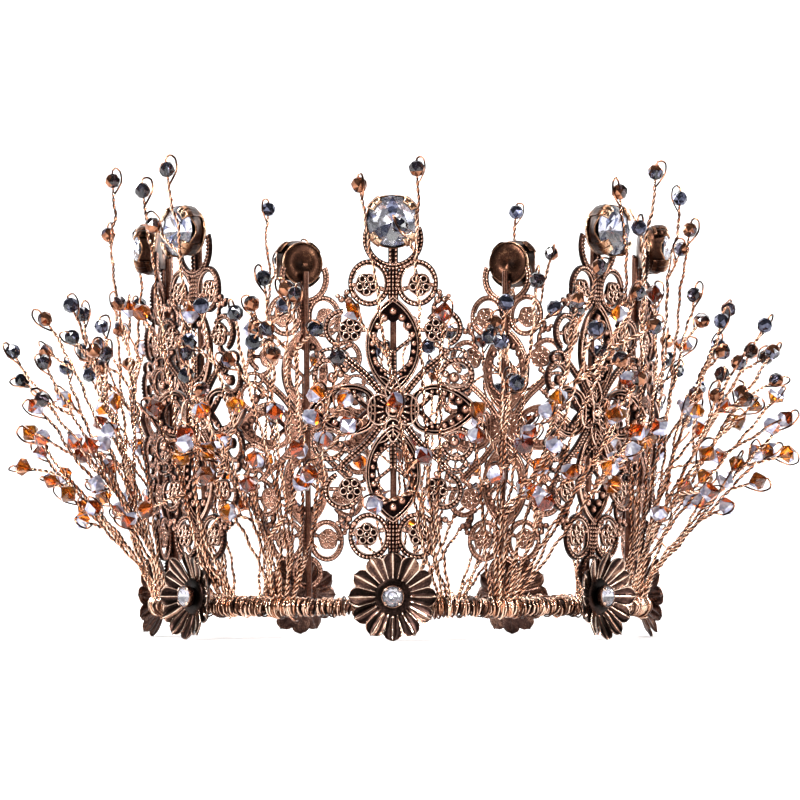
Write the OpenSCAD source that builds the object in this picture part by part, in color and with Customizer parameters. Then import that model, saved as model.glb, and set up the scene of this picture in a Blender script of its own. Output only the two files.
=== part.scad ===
// Bridal crown: seven pierced filigree panels on a round wire ring, each with a flower at its foot
// and a claw-set stone at its head, and seven sprays of beaded wire twigs that flare out between them.
// +Z is the crown's axis. The origin is on that axis, in the plane that the lowest petals stand on.
// The panel of unit 1 faces -Y, and the units follow each other anticlockwise as seen from above.

/* [Ring] */
// Radius of the ring wire's centre line, mm
ring_r = 61; // [50:0.5:80]
// Height of the ring wire's centre line over the floor, mm
ring_z = 8; // [6:0.5:10]
// Diameter of the ring's core wire, mm
core_d = 2; // [1.5:0.1:3]
// Outside diameter of the thin first layer of binding wire, mm
wrap_thin_d = 3; // [2.6:0.1:4]
// Outside diameter of the full binding, mm
wrap_full_d = 3.9; // [3.2:0.1:5]
// Diameter of the knot of twig tails on the ring, mm
knot_d = 5; // [4:0.1:6]

/* [Panel] */
// Height of the middle of a panel over the floor, mm
panel_mid_z = 55; // [45:0.5:65]
// Distance from the axis to the back of a panel's middle, mm
panel_mid_r = 61.35; // [60:0.05:66]
// Outward lean of a panel, degrees
panel_lean = 1.7; // [0:0.1:6]
// Thickness of the pierced plate, mm
plate_t = 0.9; // [0.6:0.1:1.6]
// Height of the raised rims over the plate, mm
relief_t = 0.5; // [0.2:0.1:1]
// Width of the metal round an opening, mm
rim_w = 1.7; // [1:0.1:2.5]

/* [Post] */
// Diameter of the post wire behind a panel, mm
post_d = 1.6; // [1:0.1:2.4]
// Angle that the post's foot bends round the ring, degrees
hook_turn = 110; // [60:5:150]

/* [Top stone] */
// Height of the top stone's centre over the floor, mm
stone_z = 99.3; // [90:0.1:110]
// Diameter of the top stone, mm
stone_d = 12; // [8:0.5:16]
// Outside diameter of its cup, mm
cup_d = 13.6; // [10:0.1:18]
// Depth of the cup, mm
cup_depth = 5; // [3:0.1:8]

/* [Flower] */
// Diameter of a flower, mm
flower_d = 21; // [15:0.5:28]
// Number of petals
petals = 12; // [8:1:16]
// Width of a petal at its widest, mm
petal_w = 5; // [3:0.1:7]
// How far the petal tips stand forward of the hub, mm
petal_rise = 2.6; // [1:0.1:5]
// Diameter of the flower's stone, mm
flower_stone_d = 4.8; // [3:0.1:7]

/* [Beads] */
// Diameter of a round bead, mm
round_bead_d = 4; // [3:0.1:6]
// Diameter of a bicone bead, mm
bicone_d = 4.8; // [3:0.1:6]
// Length of a bicone bead, mm
bicone_l = 4.4; // [3:0.1:6]
// Diameter of the hole through a bead, mm
bead_bore_d = 0.9; // [0.6:0.05:1.4]

/* [Twigs] */
// Diameter of a twig of two twisted wires, mm
twig_d = 0.9; // [0.5:0.05:1.5]
// Diameter of the wire inside a bead, mm
pin_d = 0.6; // [0.3:0.05:1]
// How far a twig's end stands out of its bead, mm
pin_out = 0.6; // [0.2:0.1:2]

/* [Hidden] */
units = 7;
pitch = 360 / units;
gap = 0.15;
$fn = 64;

core_r = core_d / 2;
post_r = post_d / 2;
flower_r = flower_d / 2;
bore_r = bead_bore_d / 2;

// Helpers that place a shape in a unit: -Y is outward, X runs along the ring, Z is up
module at_unit(k) {
  rotate([0, 0, (k - 1) * pitch]) children();
}

// Turns a shape drawn in XY with its face to +Z so that it faces outward, upright
module facing_out(distance, height, lean = 0) {
  translate([0, -distance, height]) rotate([90 + lean, 0, 0]) children();
}

// Filigree panel, drawn in XY with its middle at the origin

// Scroll circles of one quarter: [x, y, radius, bud, open]
// x and y are the circle's middle, radius its outside, bud the radius of the raised disc in its
// middle, and open is 1 where the plate is cut through round the bud
scrolls = [
  [15.2, 8.2, 4.2, 1.3, 0],
  [12, 19.3, 4.7, 1.9, 1],
  [6, 29.7, 5.2, 2.9, 0],
];
// Discs of one quarter that join the scrolls: [x, y, radius]
links = [
  [7.4, 18.7, 2],
  [14.7, 12.9, 2.6],
  [10.2, 24.7, 2],
];
// Loops at the panel's two ends: [y, radius]
loops = [
  [-38.6, 4.6],
  [40.5, 7.3],
];
RADIUS = 2;
BUD = 3;
OPEN = 4;
LOOP_R = 1;
panel_half_h = 43;
petal_base_x = 4.3;
petal_wide_x = 9.4;
petal_tip_x = 20.3;
petal_half_w = 6;
petal_round_r = 9;
petal_wall = 2.9;
oval_mid_y = 15.2;
oval_half_h = 11.8;
oval_half_w = 6.7;
oval_hole_h = 9;
oval_hole_w = 4.1;
bud_inset = 0.2;
bud_t = 0.3;
stem_w = 1.2;
boss_r = 1.4;
boss_z = 1.5;
side_lobe_x = 4.6;
side_lobe_r = 2.4;
top_lobe_y = 4.4;
top_lobe_r = 1.9;
spine_half_w = 4.6;
spine_half_h = 35.6;
waist_half_w = 12.6;
waist_half_h = 8.8;
// Two bars cross in the waist and carry the scrolls
trunk_angle = 44;
trunk_half_l = 18.5;
trunk_w = 3.2;

// A pointed oval of the given half length along X and half width along Y, made of two arcs
module almond(half_l, half_w) {
  r = (half_l * half_l + half_w * half_w) / (2 * half_w);
  intersection() {
    translate([0, r - half_w]) circle(r = r);
    translate([0, half_w - r]) circle(r = r);
  }
}

// An almond's wall is thicker at its two tips by this factor
tip_wall = 1.6;

module almond_ring(half_l, half_w, wall) {
  difference() {
    almond(half_l, half_w);
    almond(half_l - tip_wall * wall, half_w - wall);
  }
}

// Outline of the right side petal, moved in by a distance: a pointed oval, widest at petal_wide_x
// and rounded off at its end next to the flower
module side_petal(inset) {
  intersection() {
    translate([petal_wide_x, 0])
      almond(petal_tip_x - petal_wide_x - tip_wall * inset, petal_half_w - inset);
    translate([petal_base_x + petal_round_r, 0]) circle(r = petal_round_r - inset);
  }
}

module ring_2d(r, wall) {
  difference() {
    circle(r = r);
    circle(r = r - wall);
  }
}

module panel_outline() {
  for (n = [0, 1]) mirror([n, 0]) side_petal(0);
  for (y = [-1, 1]) translate([0, y * oval_mid_y]) rotate(90) almond(oval_half_h, oval_half_w);
  for (l = loops) translate([0, l.x]) circle(r = l[LOOP_R]);
  for (x = [-1, 1], y = [-1, 1], s = concat(scrolls, links)) {
    translate([x * s.x, y * s.y]) circle(r = s[RADIUS]);
  }
  square([2 * spine_half_w, 2 * spine_half_h], center = true);
  square([2 * waist_half_w, 2 * waist_half_h], center = true);
  for (n = [-1, 1]) rotate(n * trunk_angle) square([2 * trunk_half_l, trunk_w], center = true);
}

module panel_openings() {
  for (n = [0, 1]) mirror([n, 0]) side_petal(petal_wall);
  for (y = [-1, 1]) translate([0, y * oval_mid_y]) rotate(90) almond(oval_hole_h, oval_hole_w);
  for (l = loops) translate([0, l.x]) circle(r = l[LOOP_R] - rim_w);
  for (x = [-1, 1], y = [-1, 1], s = scrolls) {
    if (s[OPEN] == 1) {
      translate([x * s.x, y * s.y]) difference() {
        circle(r = s[RADIUS] - rim_w);
        circle(r = s[BUD]);
        rotate(-45 * x * y) translate([0, -y * s[RADIUS] / 2]) square([stem_w, s[RADIUS]], center = true);
      }
    }
  }
}

// The rims stand a little inside the plate's edges, so that no two walls lie in one surface
rim_inset = 0.2;

module panel_rims() {
  rim = rim_w - 2 * rim_inset;
  for (n = [0, 1]) mirror([n, 0]) difference() {
    side_petal(rim_inset);
    side_petal(rim_inset + rim);
  }
  for (y = [-1, 1]) translate([0, y * oval_mid_y]) rotate(90)
    almond_ring(oval_half_h - rim_inset, oval_half_w - rim_inset, rim);
  for (l = loops) translate([0, l.x]) ring_2d(l[LOOP_R] - rim_inset, rim);
  for (x = [-1, 1], y = [-1, 1], s = scrolls) {
    translate([x * s.x, y * s.y]) ring_2d(s[RADIUS] - rim_inset, rim);
  }
}

// A raised disc on the plate
module raised(x, y, r) {
  translate([x, y, plate_t / 2]) cylinder(r = r, h = plate_t / 2 + bud_t);
}

module panel_plate() {
  color("#8a5a44") linear_extrude(plate_t) difference() {
    panel_outline();
    panel_openings();
  }
}

module panel_relief() {
  color("#c98f73") {
    translate([0, 0, plate_t / 2]) linear_extrude(plate_t / 2 + relief_t) panel_rims();
    for (x = [-1, 1], y = [-1, 1], s = scrolls) raised(x * s.x, y * s.y, s[BUD] - bud_inset);
    for (x = [-1, 1], y = [-1, 1], l = links) raised(x * l.x, y * l.y, l[RADIUS] / 2);
    for (n = [-1, 1]) {
      raised(n * side_lobe_x, 0, side_lobe_r);
      raised(0, n * top_lobe_y, top_lobe_r);
    }
    translate([0, 0, boss_z]) sphere(r = boss_r);
  }
}

// Cup of the top stone, drawn with its back at the origin and its mouth to +Z
cup_r = cup_d / 2;
stone_r = stone_d / 2;
cup_floor = 1.2;
cup_back_r = 63.35;
seat_r = stone_r + 0.2;
seat_depth = 1.4;
cup_taper = 1.6;
floor_taper = 2;
claws = 4;
claw_angle = 22;
stone_sides = 12;
stone_pavilion = 3;
stone_crown = 2.1;

module cup() {
  color("#6b4030") {
    rotate_extrude() polygon([
      [0, 0], [cup_r - cup_taper, 0], [cup_r, cup_depth], [seat_r, cup_depth],
      [seat_r, cup_depth - seat_depth], [seat_r - floor_taper, cup_floor], [0, cup_floor],
    ]);
    for (i = [0:claws - 1]) rotate(45 + i * 360 / claws - claw_angle / 2) claw();
  }
}

// One claw, bent over the stone's edge: its foot lies inside the cup's wall
claw_foot = 0.5;
claw_bend = 0.4;
claw_h = 1.3;
claw_reach = 0.8;
claw_t = 0.45;
claw_t_in = 0.3;
claw_inset = 0.05;

module claw() {
  rotate_extrude(angle = claw_angle) polygon([
    [seat_r + 2 * claw_inset, cup_depth - claw_foot], [cup_r - claw_inset, cup_depth - claw_foot],
    [cup_r - claw_inset, cup_depth + claw_bend], [stone_r - claw_reach + claw_t_in, cup_depth + claw_h],
    [stone_r - claw_reach, cup_depth + claw_h - claw_t],
    [seat_r + 2 * claw_inset, cup_depth + 2 * claw_inset],
  ]);
}

module panel() {
  facing_out(panel_mid_r, panel_mid_z, panel_lean) {
    panel_plate();
    panel_relief();
  }
  facing_out(cup_back_r, stone_z) cup();
}

// Cut stone with a table, a ring of crown facets and a ring of pavilion facets, its culet at the origin
girdle_share = 0.06;
table_share = 0.58;

module cut_stone(r, sides, pavilion, crown) {
  hull() {
    cylinder(r1 = 0, r2 = r, h = pavilion, $fn = sides);
    translate([0, 0, pavilion + girdle_share * r])
      cylinder(r1 = r, r2 = table_share * r, h = crown, $fn = sides);
  }
}

module stone() {
  color("#e8f0f8") facing_out(cup_back_r + cup_floor + gap, stone_z)
    cut_stone(stone_r, stone_sides, stone_pavilion, stone_crown);
}

// Post wire behind a panel, with its foot bent round the ring, drawn in the panel's own tilted frame
foot_y = (ring_r - panel_mid_r) * sin(panel_lean) - (panel_mid_z - ring_z) * cos(panel_lean);
foot_z = (ring_r - panel_mid_r) * cos(panel_lean) + (panel_mid_z - ring_z) * sin(panel_lean);
post_back = -gap - post_r;
post_top = panel_half_h - 1;
// The wire swells a little where it starts to bend, and the straight and the bend both end in there
knuckle_r = post_r + 0.1;
knuckle_in = 0.2;
knuckle_turn = 6;

module post() {
  color("#a46a50") facing_out(panel_mid_r, panel_mid_z, panel_lean) {
    translate([0, foot_y + knuckle_in, post_back]) rotate([-90, 0, 0])
      cylinder(r = post_r, h = post_top - foot_y - knuckle_in);
    translate([0, foot_y, post_back]) sphere(r = knuckle_r);
    translate([0, foot_y, foot_z]) rotate([0, 90, 0]) rotate(-hook_turn)
      rotate_extrude(angle = hook_turn - knuckle_turn) translate([foot_z - post_back, 0]) circle(r = post_r);
  }
}

// Flower, drawn with its back at the origin and its face to +Z
flower_back_r = 62.8;
hub_r = 4.4;
hub_t = 0.8;
petal_t = 0.7;
rib_w = 0.6;
rib_h = 0.35;
// Shares of the flower's radius and of the petals' rise at which the dish bends
dish_mid = 0.68;
dish_mid_rise = 0.4;
dish_lip = 0.9;
flower_stone_r = flower_stone_d / 2;
bezel_r = flower_stone_r + 0.5;
bezel_floor = 1.6;
bezel_top = 3.3;
flower_stone_sides = 8;
flower_stone_pavilion = 1.2;
flower_stone_crown = 0.8;

// Section of the dished petals, from radius r0 outward, lifted by a height
module dish_section(r0, lift) {
  mid_r = dish_mid * flower_r;
  mid_z = dish_mid_rise * petal_rise + lift;
  edge_r = flower_r + 0.1;
  edge_z = petal_rise + lift;
  polygon([
    [r0, lift], [mid_r, mid_z], [edge_r, edge_z], [edge_r, edge_z + petal_t], [mid_r, mid_z + petal_t],
    [r0 + dish_lip, petal_t + dish_lip + lift], [r0, petal_t + lift],
  ]);
}

// A petal is a pointed leaf with a round laid over it, in shares of the flower's radius and its own width
petal_leaf = 0.38;
petal_round_at = 0.77;
petal_round = 0.45;

// The hub laps under the petals, and the ribs start and end a little inside them
hub_lap = 0.6;
dish_in = 0.2;
rib_in = 0.8;
rib_end = 0.4;

module petal_outline() {
  for (i = [0:petals - 1]) rotate(i * 360 / petals) {
    translate([petal_round_at * flower_r, 0]) circle(r = petal_round * petal_w);
    translate([(1 - petal_leaf) * flower_r, 0]) almond(petal_leaf * flower_r, petal_w / 2);
  }
  circle(r = hub_r + hub_lap);
}

module flower() {
  color("#7a4a38") facing_out(flower_back_r, flower_r) {
    cylinder(r = hub_r, h = hub_t);
    intersection() {
      rotate_extrude() dish_section(hub_r - dish_in, 0);
      linear_extrude(2 * petal_rise) petal_outline();
    }
    intersection() {
      rotate_extrude() dish_section(hub_r + rib_in, rib_h);
      linear_extrude(2 * petal_rise) for (i = [0:petals - 1])
        rotate(i * 360 / petals) translate([hub_r, -rib_w / 2]) square([flower_r - hub_r - rib_end, rib_w]);
    }
    difference() {
      translate([0, 0, hub_t / 2]) cylinder(r = bezel_r, h = bezel_top - hub_t / 2);
      translate([0, 0, bezel_floor]) cylinder(r = flower_stone_r + 0.1, h = bezel_top);
    }
  }
}

module flower_stone() {
  color("#e8f0f8") facing_out(flower_back_r + bezel_floor + gap, flower_r)
    cut_stone(flower_stone_r, flower_stone_sides, flower_stone_pavilion, flower_stone_crown);
}

// Ring wire and its binding

// A length of round tube along the ring, between two angles from -Y, anticlockwise
module ring_sleeve(from, to, outer_d, inner_d) {
  translate([0, 0, ring_z]) rotate(from - 90) rotate_extrude(angle = to - from)
    translate([ring_r, 0]) difference() {
      circle(d = outer_d);
      circle(d = inner_d);
    }
}

module ring_wire() {
  color("#a46a50") translate([0, 0, ring_z]) rotate_extrude() translate([ring_r, 0]) circle(d = core_d);
}

wrap_from = 2.6;
full_from = 5.2;
spray_at = pitch / 2;
sprig_at = 11.6;
spray_knot = 3.6;
sprig_knot = 1.7;
knot_clear = 0.4;
// The binding between the two back flowers is thin: there the full layer stops at the knot
thin_unit = 4;
// The full layer starts inside the thin one
full_inner_d = wrap_thin_d - 0.6;

module full_sleeve(from, to) {
  ring_sleeve(from, to, wrap_full_d, full_inner_d);
}

module binding() {
  color("#b87a5c") for (k = [1:units]) at_unit(k) {
    ring_sleeve(wrap_from, pitch - wrap_from, wrap_thin_d, core_d + 2 * gap);
    full_sleeve(full_from, sprig_at - sprig_knot - knot_clear);
    full_sleeve(sprig_at + sprig_knot + knot_clear, spray_at - spray_knot - knot_clear);
    if (k != thin_unit) full_sleeve(spray_at + spray_knot + knot_clear, pitch - full_from);
  }
}

// Twigs. A twig is a wire that forks once. Its places are [along, out, up] in mm: along the ring,
// outward from the ring's centre line, and up from it.
// along, out, up: the first tip. fork: share of the way at which the twig forks.
// spread, drop: the second tip's distance along the ring from the first, and below it.
// bicones: how many of the twig's two beads are bicones.
ALONG = 0;
OUT = 1;
UP = 2;
FORK = 3;
SPREAD = 4;
DROP = 5;
BICONES = 6;
spray_table = [
  [-14, 20, 42, 0.58, 6, 11, 2],
  [-13, 29, 63, 0.66, 6, 10, 0],
  [-7, 22, 73, 0.70, -6, 9, 0],
  [-4, 35, 51, 0.62, -7, 9, 2],
  [2, 13, 82, 0.74, 7, 7, 0],
  [6, 23, 31, 0.50, -8, 8, 2],
  [8, 36, 69, 0.70, 7, 8, 0],
  [13, 20, 80, 0.70, -6, 10, 0],
  [16, 34, 48, 0.60, 6, 10, 2],
  [20, 30, 75, 0.72, 6, 9, 0],
  [25, 29, 40, 0.60, -7, 9, 2],
  [27, 22, 60, 0.68, -7, 9, 1],
];
sprig_table = [
  [-6, 12, 100, 0.50, -3, 30, 1],
  [-1, 16, 54, 0.30, -7, 28, 2],
  [4, 15, 108, 0.74, -5, 14, 0],
  [12, 9, 76, 0.34, -7, 38, 2],
];
// Each unit's seeds vary its twigs, and are ones with which no bead touches another piece
spray_seeds = [13, 36, 64, 1, 23, 8, 92];
sprig_seeds = [47, 137, 56, 77, 104, 120, 134];
// 1 where a unit's spray leans anticlockwise, -1 where it leans the other way
side = [1, 1, 1, -1, 1, -1, 1];
along_vary = 2.5;
out_vary = 3;
up_vary = 4;
sway = 1.6;
bend_sway = 0.96;
// The roots of the twigs lie in the wall of their knot, in three rows
root_r = (knot_d + wrap_thin_d) / 4 + 0.1;
root_row_angle = 38;
neck_l = 1;
// Along the ring: how widely a spray's roots and its twigs' knees are spread, and where its knees' middle is
root_spread = 6.2;
knee_spread = 16;
knee_mid = 2;
// Shares of a spray twig's way out and up at which its knee is
knee_out = 0.16;
knee_up = 0.28;
// Along the ring: from one sprig twig's root to the next
sprig_root_step = 0.9;
// Knee of a sprig's first twig, [along, out, up], and the step from twig to twig
sprig_knee = [7, 6.5, 16];
sprig_knee_step = [1.2, 0, 1.5];
sprig_knee_stagger = 0.8;

function unit_of(v) = v / norm(v);
function mix(a, b, t) = a + (b - a) * t;
function frac(x) = x - floor(x);
function vary(seed, i, n) = 2 * frac(sin(seed * 12.9898 + i * 78.233 + n * 37.719) * 43758.5453) - 1;
function bead_l(bicone) = bicone ? bicone_l : round_bead_d;
function root_in_knot(along, row) = let (a = row * root_row_angle) [along, root_r * sin(a), root_r * cos(a)];

// The end of a branch, [neck, tip], straight on from where it last bends
function tip_end(bend, tip, bicone) = [tip - unit_of(tip - bend) * (bead_l(bicone) + pin_out + neck_l), tip];

// The two branches of twig i: [root, knee, fork, bend, neck, tip] and [fork, neck, tip]
function forked(root, knee, row, flip, seed, i) = let (
  tip = [
    flip * row[ALONG] + along_vary * vary(seed, i, 1),
    row[OUT] + out_vary * vary(seed, i, 2),
    row[UP] + up_vary * vary(seed, i, 3)
  ],
  tip_2 = tip + [flip * row[SPREAD], out_vary * vary(seed, i, 4), -row[DROP]],
  fork = mix(knee, tip, row[FORK]) + sway * [vary(seed, i, 5), vary(seed, i, 6), 0],
  bend = mix(fork, tip, 0.5) + bend_sway * [vary(seed, i, 7), vary(seed, i, 8), 0]
) [
  concat([root, knee, fork, bend], tip_end(bend, tip, row[BICONES] > 1)),
  concat([fork], tip_end(fork, tip_2, row[BICONES] > 0))
];

function spray_twig(k, i) = let (
  row = spray_table[i],
  way = side[k - 1],
  slot = i / (len(spray_table) - 1) - 0.5,
  root = root_in_knot(way * root_spread * slot, i % 3 - 1),
  knee = [way * (knee_spread * slot + knee_mid), knee_out * row[OUT] + i % 3 - 1, knee_up * row[UP]]
) forked(root, knee, row, way, spray_seeds[k - 1], i);

function sprig_twig(k, i) = let (
  row = sprig_table[i],
  along = sprig_root_step * (i - (len(sprig_table) - 1) / 2),
  root = root_in_knot(along, i % 2 - 0.5) + ring_r * [sin(sprig_at), cos(sprig_at) - 1, 0],
  knee = sprig_knee + sprig_knee_step * i + [0, sprig_knee_stagger * (i % 2), 0]
) forked(root, knee, row, 1, sprig_seeds[k - 1], i);

function spray_twigs(k) = [for (i = [0:len(spray_table) - 1]) each spray_twig(k, i)];
function sprig_twigs(k) = [for (i = [0:len(sprig_table) - 1]) each sprig_twig(k, i)];
function spray_beads(k) = [for (i = [0:len(spray_table) - 1], b = [0, 1]) spray_table[i][BICONES] > 1 - b];
function sprig_beads(k) = [for (i = [0:len(sprig_table) - 1], b = [0, 1]) sprig_table[i][BICONES] > 1 - b];

// Places of [along, out, up] in a unit's own frame
function in_frame(p) = [p.x, -ring_r - p.y, ring_z + p.z];

wire_sides = 4;
function ring_of(p, way, r) = let (
  a = unit_of(cross(way, [1, 0, 0])),
  b = cross(way, a)
) [for (i = [0:wire_sides - 1]) p + r * (cos(i * 360 / wire_sides) * a + sin(i * 360 / wire_sides) * b)];

// The way of a path at one of its points, halfway between the stretches before and after it
function way_at(path, i) = unit_of(
  (i > 0 ? unit_of(path[i] - path[i - 1]) : [0, 0, 0])
  + (i < len(path) - 1 ? unit_of(path[i + 1] - path[i]) : [0, 0, 0])
);

module wire(path, radii) {
  faces = [for (i = [0:wire_sides - 1]) [i, (i + 1) % wire_sides, wire_sides + i]];
  for (i = [0:len(path) - 2]) {
    from = ring_of(path[i], way_at(path, i), radii[i]);
    to = ring_of(path[i + 1], way_at(path, i + 1), radii[i + 1]);
    hull() polyhedron(concat(from, to), faces);
  }
}

// A twig is twig_d thick as far as its bend, and pin_d thick in its bead. Its second branch is
// pin_d thick all the way, so that it starts wholly inside the first.
module twig_wires(paths) {
  for (path = paths) {
    places = [for (p = path) in_frame(p)];
    stem = len(path) > 3 ? len(path) - 3 : -1;
    wire(places, [for (i = [0:len(path) - 1]) (i <= stem ? twig_d : pin_d) / 2]);
  }
}

// Inside diameter of a knot, whose eight-sided hole clears the round binding
knot_inner_d = wrap_thin_d + 2 * gap + 0.3;

// Knot of twig tails round the ring, centred at an angle from -Y
module knot(at, half_angle) {
  translate([0, 0, ring_z]) rotate(at - half_angle - 90) rotate_extrude(angle = 2 * half_angle, $fn = 40)
    translate([ring_r, 0]) difference() {
      circle(d = knot_d, $fn = 8);
      circle(d = knot_inner_d, $fn = 8);
    }
}

module spray(k) {
  color("#c08a6c") at_unit(k) rotate(spray_at) union() {
    knot(0, spray_knot);
    twig_wires(spray_twigs(k));
  }
}

module sprig(k) {
  color("#c08a6c") at_unit(k) union() {
    knot(sprig_at, sprig_knot);
    twig_wires(sprig_twigs(k));
  }
}

// Beads, drawn round +Z with their middle at the origin

module round_bead() {
  rotate_extrude() difference() {
    circle(d = round_bead_d);
    translate([bore_r - round_bead_d, -round_bead_d]) square([round_bead_d, 2 * round_bead_d]);
  }
}

// Width of the flat round a bicone's hole
bicone_flat = 0.35;

module bicone_bead() {
  flat_r = bore_r + bicone_flat;
  rotate_extrude() polygon([
    [bore_r, -bicone_l / 2], [flat_r, -bicone_l / 2], [bicone_d / 2, 0],
    [flat_r, bicone_l / 2], [bore_r, bicone_l / 2],
  ]);
}

// Puts a bead at the end of a path, on its last stretch
module on_tip(path, bicone) {
  last = len(path) - 1;
  way = unit_of(path[last] - path[last - 1]);
  a = unit_of(cross(way, [1, 0, 0]));
  b = cross(way, a);
  p = path[last] - way * (pin_out + bead_l(bicone) / 2);
  multmatrix([[a.x, b.x, way.x, p.x], [a.y, b.y, way.y, p.y], [a.z, b.z, way.z, p.z]]) children();
}

module beads_on(paths, bicones) {
  for (i = [0:len(paths) - 1]) {
    places = [for (p = paths[i]) in_frame(p)];
    if (bicones[i]) {
      color("#b0561c") on_tip(places, true) bicone_bead();
    } else {
      color("#7f8fa6") on_tip(places, false) round_bead();
    }
  }
}

module beads(k) {
  at_unit(k) {
    rotate(spray_at) beads_on(spray_twigs(k), spray_beads(k));
    beads_on(sprig_twigs(k), sprig_beads(k));
  }
}

ring_wire();
binding();
at_unit(1) panel();  // panel_1
at_unit(1) post();  // post_1
at_unit(1) stone();  // stone_1
at_unit(1) flower();  // flower_1
at_unit(1) flower_stone();  // flower_stone_1
spray(1);  // spray_1
sprig(1);  // sprig_1
beads(1);  // beads_1
at_unit(2) panel();  // panel_2
at_unit(2) post();  // post_2
at_unit(2) stone();  // stone_2
at_unit(2) flower();  // flower_2
at_unit(2) flower_stone();  // flower_stone_2
spray(2);  // spray_2
sprig(2);  // sprig_2
beads(2);  // beads_2
at_unit(3) panel();  // panel_3
at_unit(3) post();  // post_3
at_unit(3) stone();  // stone_3
at_unit(3) flower();  // flower_3
at_unit(3) flower_stone();  // flower_stone_3
spray(3);  // spray_3
sprig(3);  // sprig_3
beads(3);  // beads_3
at_unit(4) panel();  // panel_4
at_unit(4) post();  // post_4
at_unit(4) stone();  // stone_4
at_unit(4) flower();  // flower_4
at_unit(4) flower_stone();  // flower_stone_4
spray(4);  // spray_4
sprig(4);  // sprig_4
beads(4);  // beads_4
at_unit(5) panel();  // panel_5
at_unit(5) post();  // post_5
at_unit(5) stone();  // stone_5
at_unit(5) flower();  // flower_5
at_unit(5) flower_stone();  // flower_stone_5
spray(5);  // spray_5
sprig(5);  // sprig_5
beads(5);  // beads_5
at_unit(6) panel();  // panel_6
at_unit(6) post();  // post_6
at_unit(6) stone();  // stone_6
at_unit(6) flower();  // flower_6
at_unit(6) flower_stone();  // flower_stone_6
spray(6);  // spray_6
sprig(6);  // sprig_6
beads(6);  // beads_6
at_unit(7) panel();  // panel_7
at_unit(7) post();  // post_7
at_unit(7) stone();  // stone_7
at_unit(7) flower();  // flower_7
at_unit(7) flower_stone();  // flower_stone_7
spray(7);  // spray_7
sprig(7);  // sprig_7
beads(7);  // beads_7
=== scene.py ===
import math
import random

import bpy
import numpy as np
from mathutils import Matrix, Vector


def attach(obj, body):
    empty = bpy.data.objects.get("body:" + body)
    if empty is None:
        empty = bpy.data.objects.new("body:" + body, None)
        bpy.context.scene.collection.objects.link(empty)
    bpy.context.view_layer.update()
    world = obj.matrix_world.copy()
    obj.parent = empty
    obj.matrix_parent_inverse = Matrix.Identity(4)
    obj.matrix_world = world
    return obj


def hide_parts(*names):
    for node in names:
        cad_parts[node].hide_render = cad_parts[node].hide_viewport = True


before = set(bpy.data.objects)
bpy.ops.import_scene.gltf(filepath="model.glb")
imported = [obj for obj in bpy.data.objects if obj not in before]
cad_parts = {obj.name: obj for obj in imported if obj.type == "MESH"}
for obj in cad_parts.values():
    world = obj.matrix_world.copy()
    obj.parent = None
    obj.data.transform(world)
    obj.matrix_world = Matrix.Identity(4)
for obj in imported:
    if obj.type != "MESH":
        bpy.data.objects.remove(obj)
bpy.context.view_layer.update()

# Sizes in mm, the same as the CAD source's
MM = 0.001
UNITS = 7
PITCH = 360 / UNITS
RING_R, RING_Z = 61.0, 8.0
KNOT_D, WRAP_THIN_D = 5.0, 3.0
PANEL_R, PANEL_Z, PANEL_LEAN = 61.35, 55.0, 1.7
CUP_BACK_R, CUP_R, STONE_Z, STONE_R = 63.35, 6.8, 99.3, 6.0
CUP_FLOOR, GAP = 1.2, 0.15
FLOWER_BACK_R, FLOWER_R, PETALS, PETAL_RISE = 62.8, 10.5, 12, 2.6
FLOWER_STONE_R, BEZEL_FLOOR, BEZEL_TOP = 2.4, 1.6, 3.3
ROUND_D, BICONE_D, BICONE_L, BORE_R = 4.0, 4.8, 4.4, 0.45
PIN_OUT, NECK_L = 0.6, 1.0


# Paths and curves

def unit(v):
    return v / np.linalg.norm(v, axis=-1, keepdims=True)


def even_angles(n):
    return np.arange(n) * 2 * math.pi / n


def on_circle(angles, r=1.0):
    return np.stack([r * np.cos(angles), r * np.sin(angles)], -1)


def lengths(path):
    """The length of a path up to each of its points."""
    return np.concatenate([[0], np.cumsum(np.linalg.norm(np.diff(path, axis=0), axis=1))])


def places_at(path, s, at):
    """Places on a path, whose lengths are s, at other lengths."""
    return np.stack([np.interp(at, s, column) for column in np.transpose(path)], -1)


def point_near(path, share):
    s = lengths(path)
    return places_at(path, s, share * s[-1])


def curve(points, step, closed=False):
    """A smooth curve through points, cut into lengths of about step."""
    p = np.asarray(points, float)
    n = len(p)
    pieces = []
    for i in range(n if closed else n - 1):
        p0 = p[(i - 1) % n] if closed or i > 0 else 2 * p[0] - p[1]
        p1, p2 = p[i], p[(i + 1) % n]
        p3 = p[(i + 2) % n] if closed or i + 2 < n else 2 * p[-1] - p[-2]
        cuts = max(1, int(round(np.linalg.norm(p2 - p1) / step)))
        t = (np.arange(cuts) / cuts)[:, None]
        pieces.append(0.5 * (2 * p1 + (p2 - p0) * t + (2 * p0 - 5 * p1 + 4 * p2 - p3) * t**2
                             + (3 * p1 - p0 - 3 * p2 + p3) * t**3))
    if not closed:
        pieces.append(p[-1:])
    return np.concatenate(pieces)


def flat(path, z=0.0):
    """A path of the panel's plane, lifted to z."""
    return np.column_stack([path, np.broadcast_to(z, len(path))])


def beside(path, d):
    """A path of the panel's plane, moved sideways by d to the left of its way."""
    path = np.asarray(path, float)
    t = unit(np.gradient(path, axis=0))
    return path + d * np.stack([-t[:, 1], t[:, 0]], 1)


def directions(path, closed):
    """Unit tangents of a path."""
    if closed:
        return unit(np.roll(path, -1, 0) - np.roll(path, 1, 0))
    return unit(np.gradient(path, axis=0))


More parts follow.
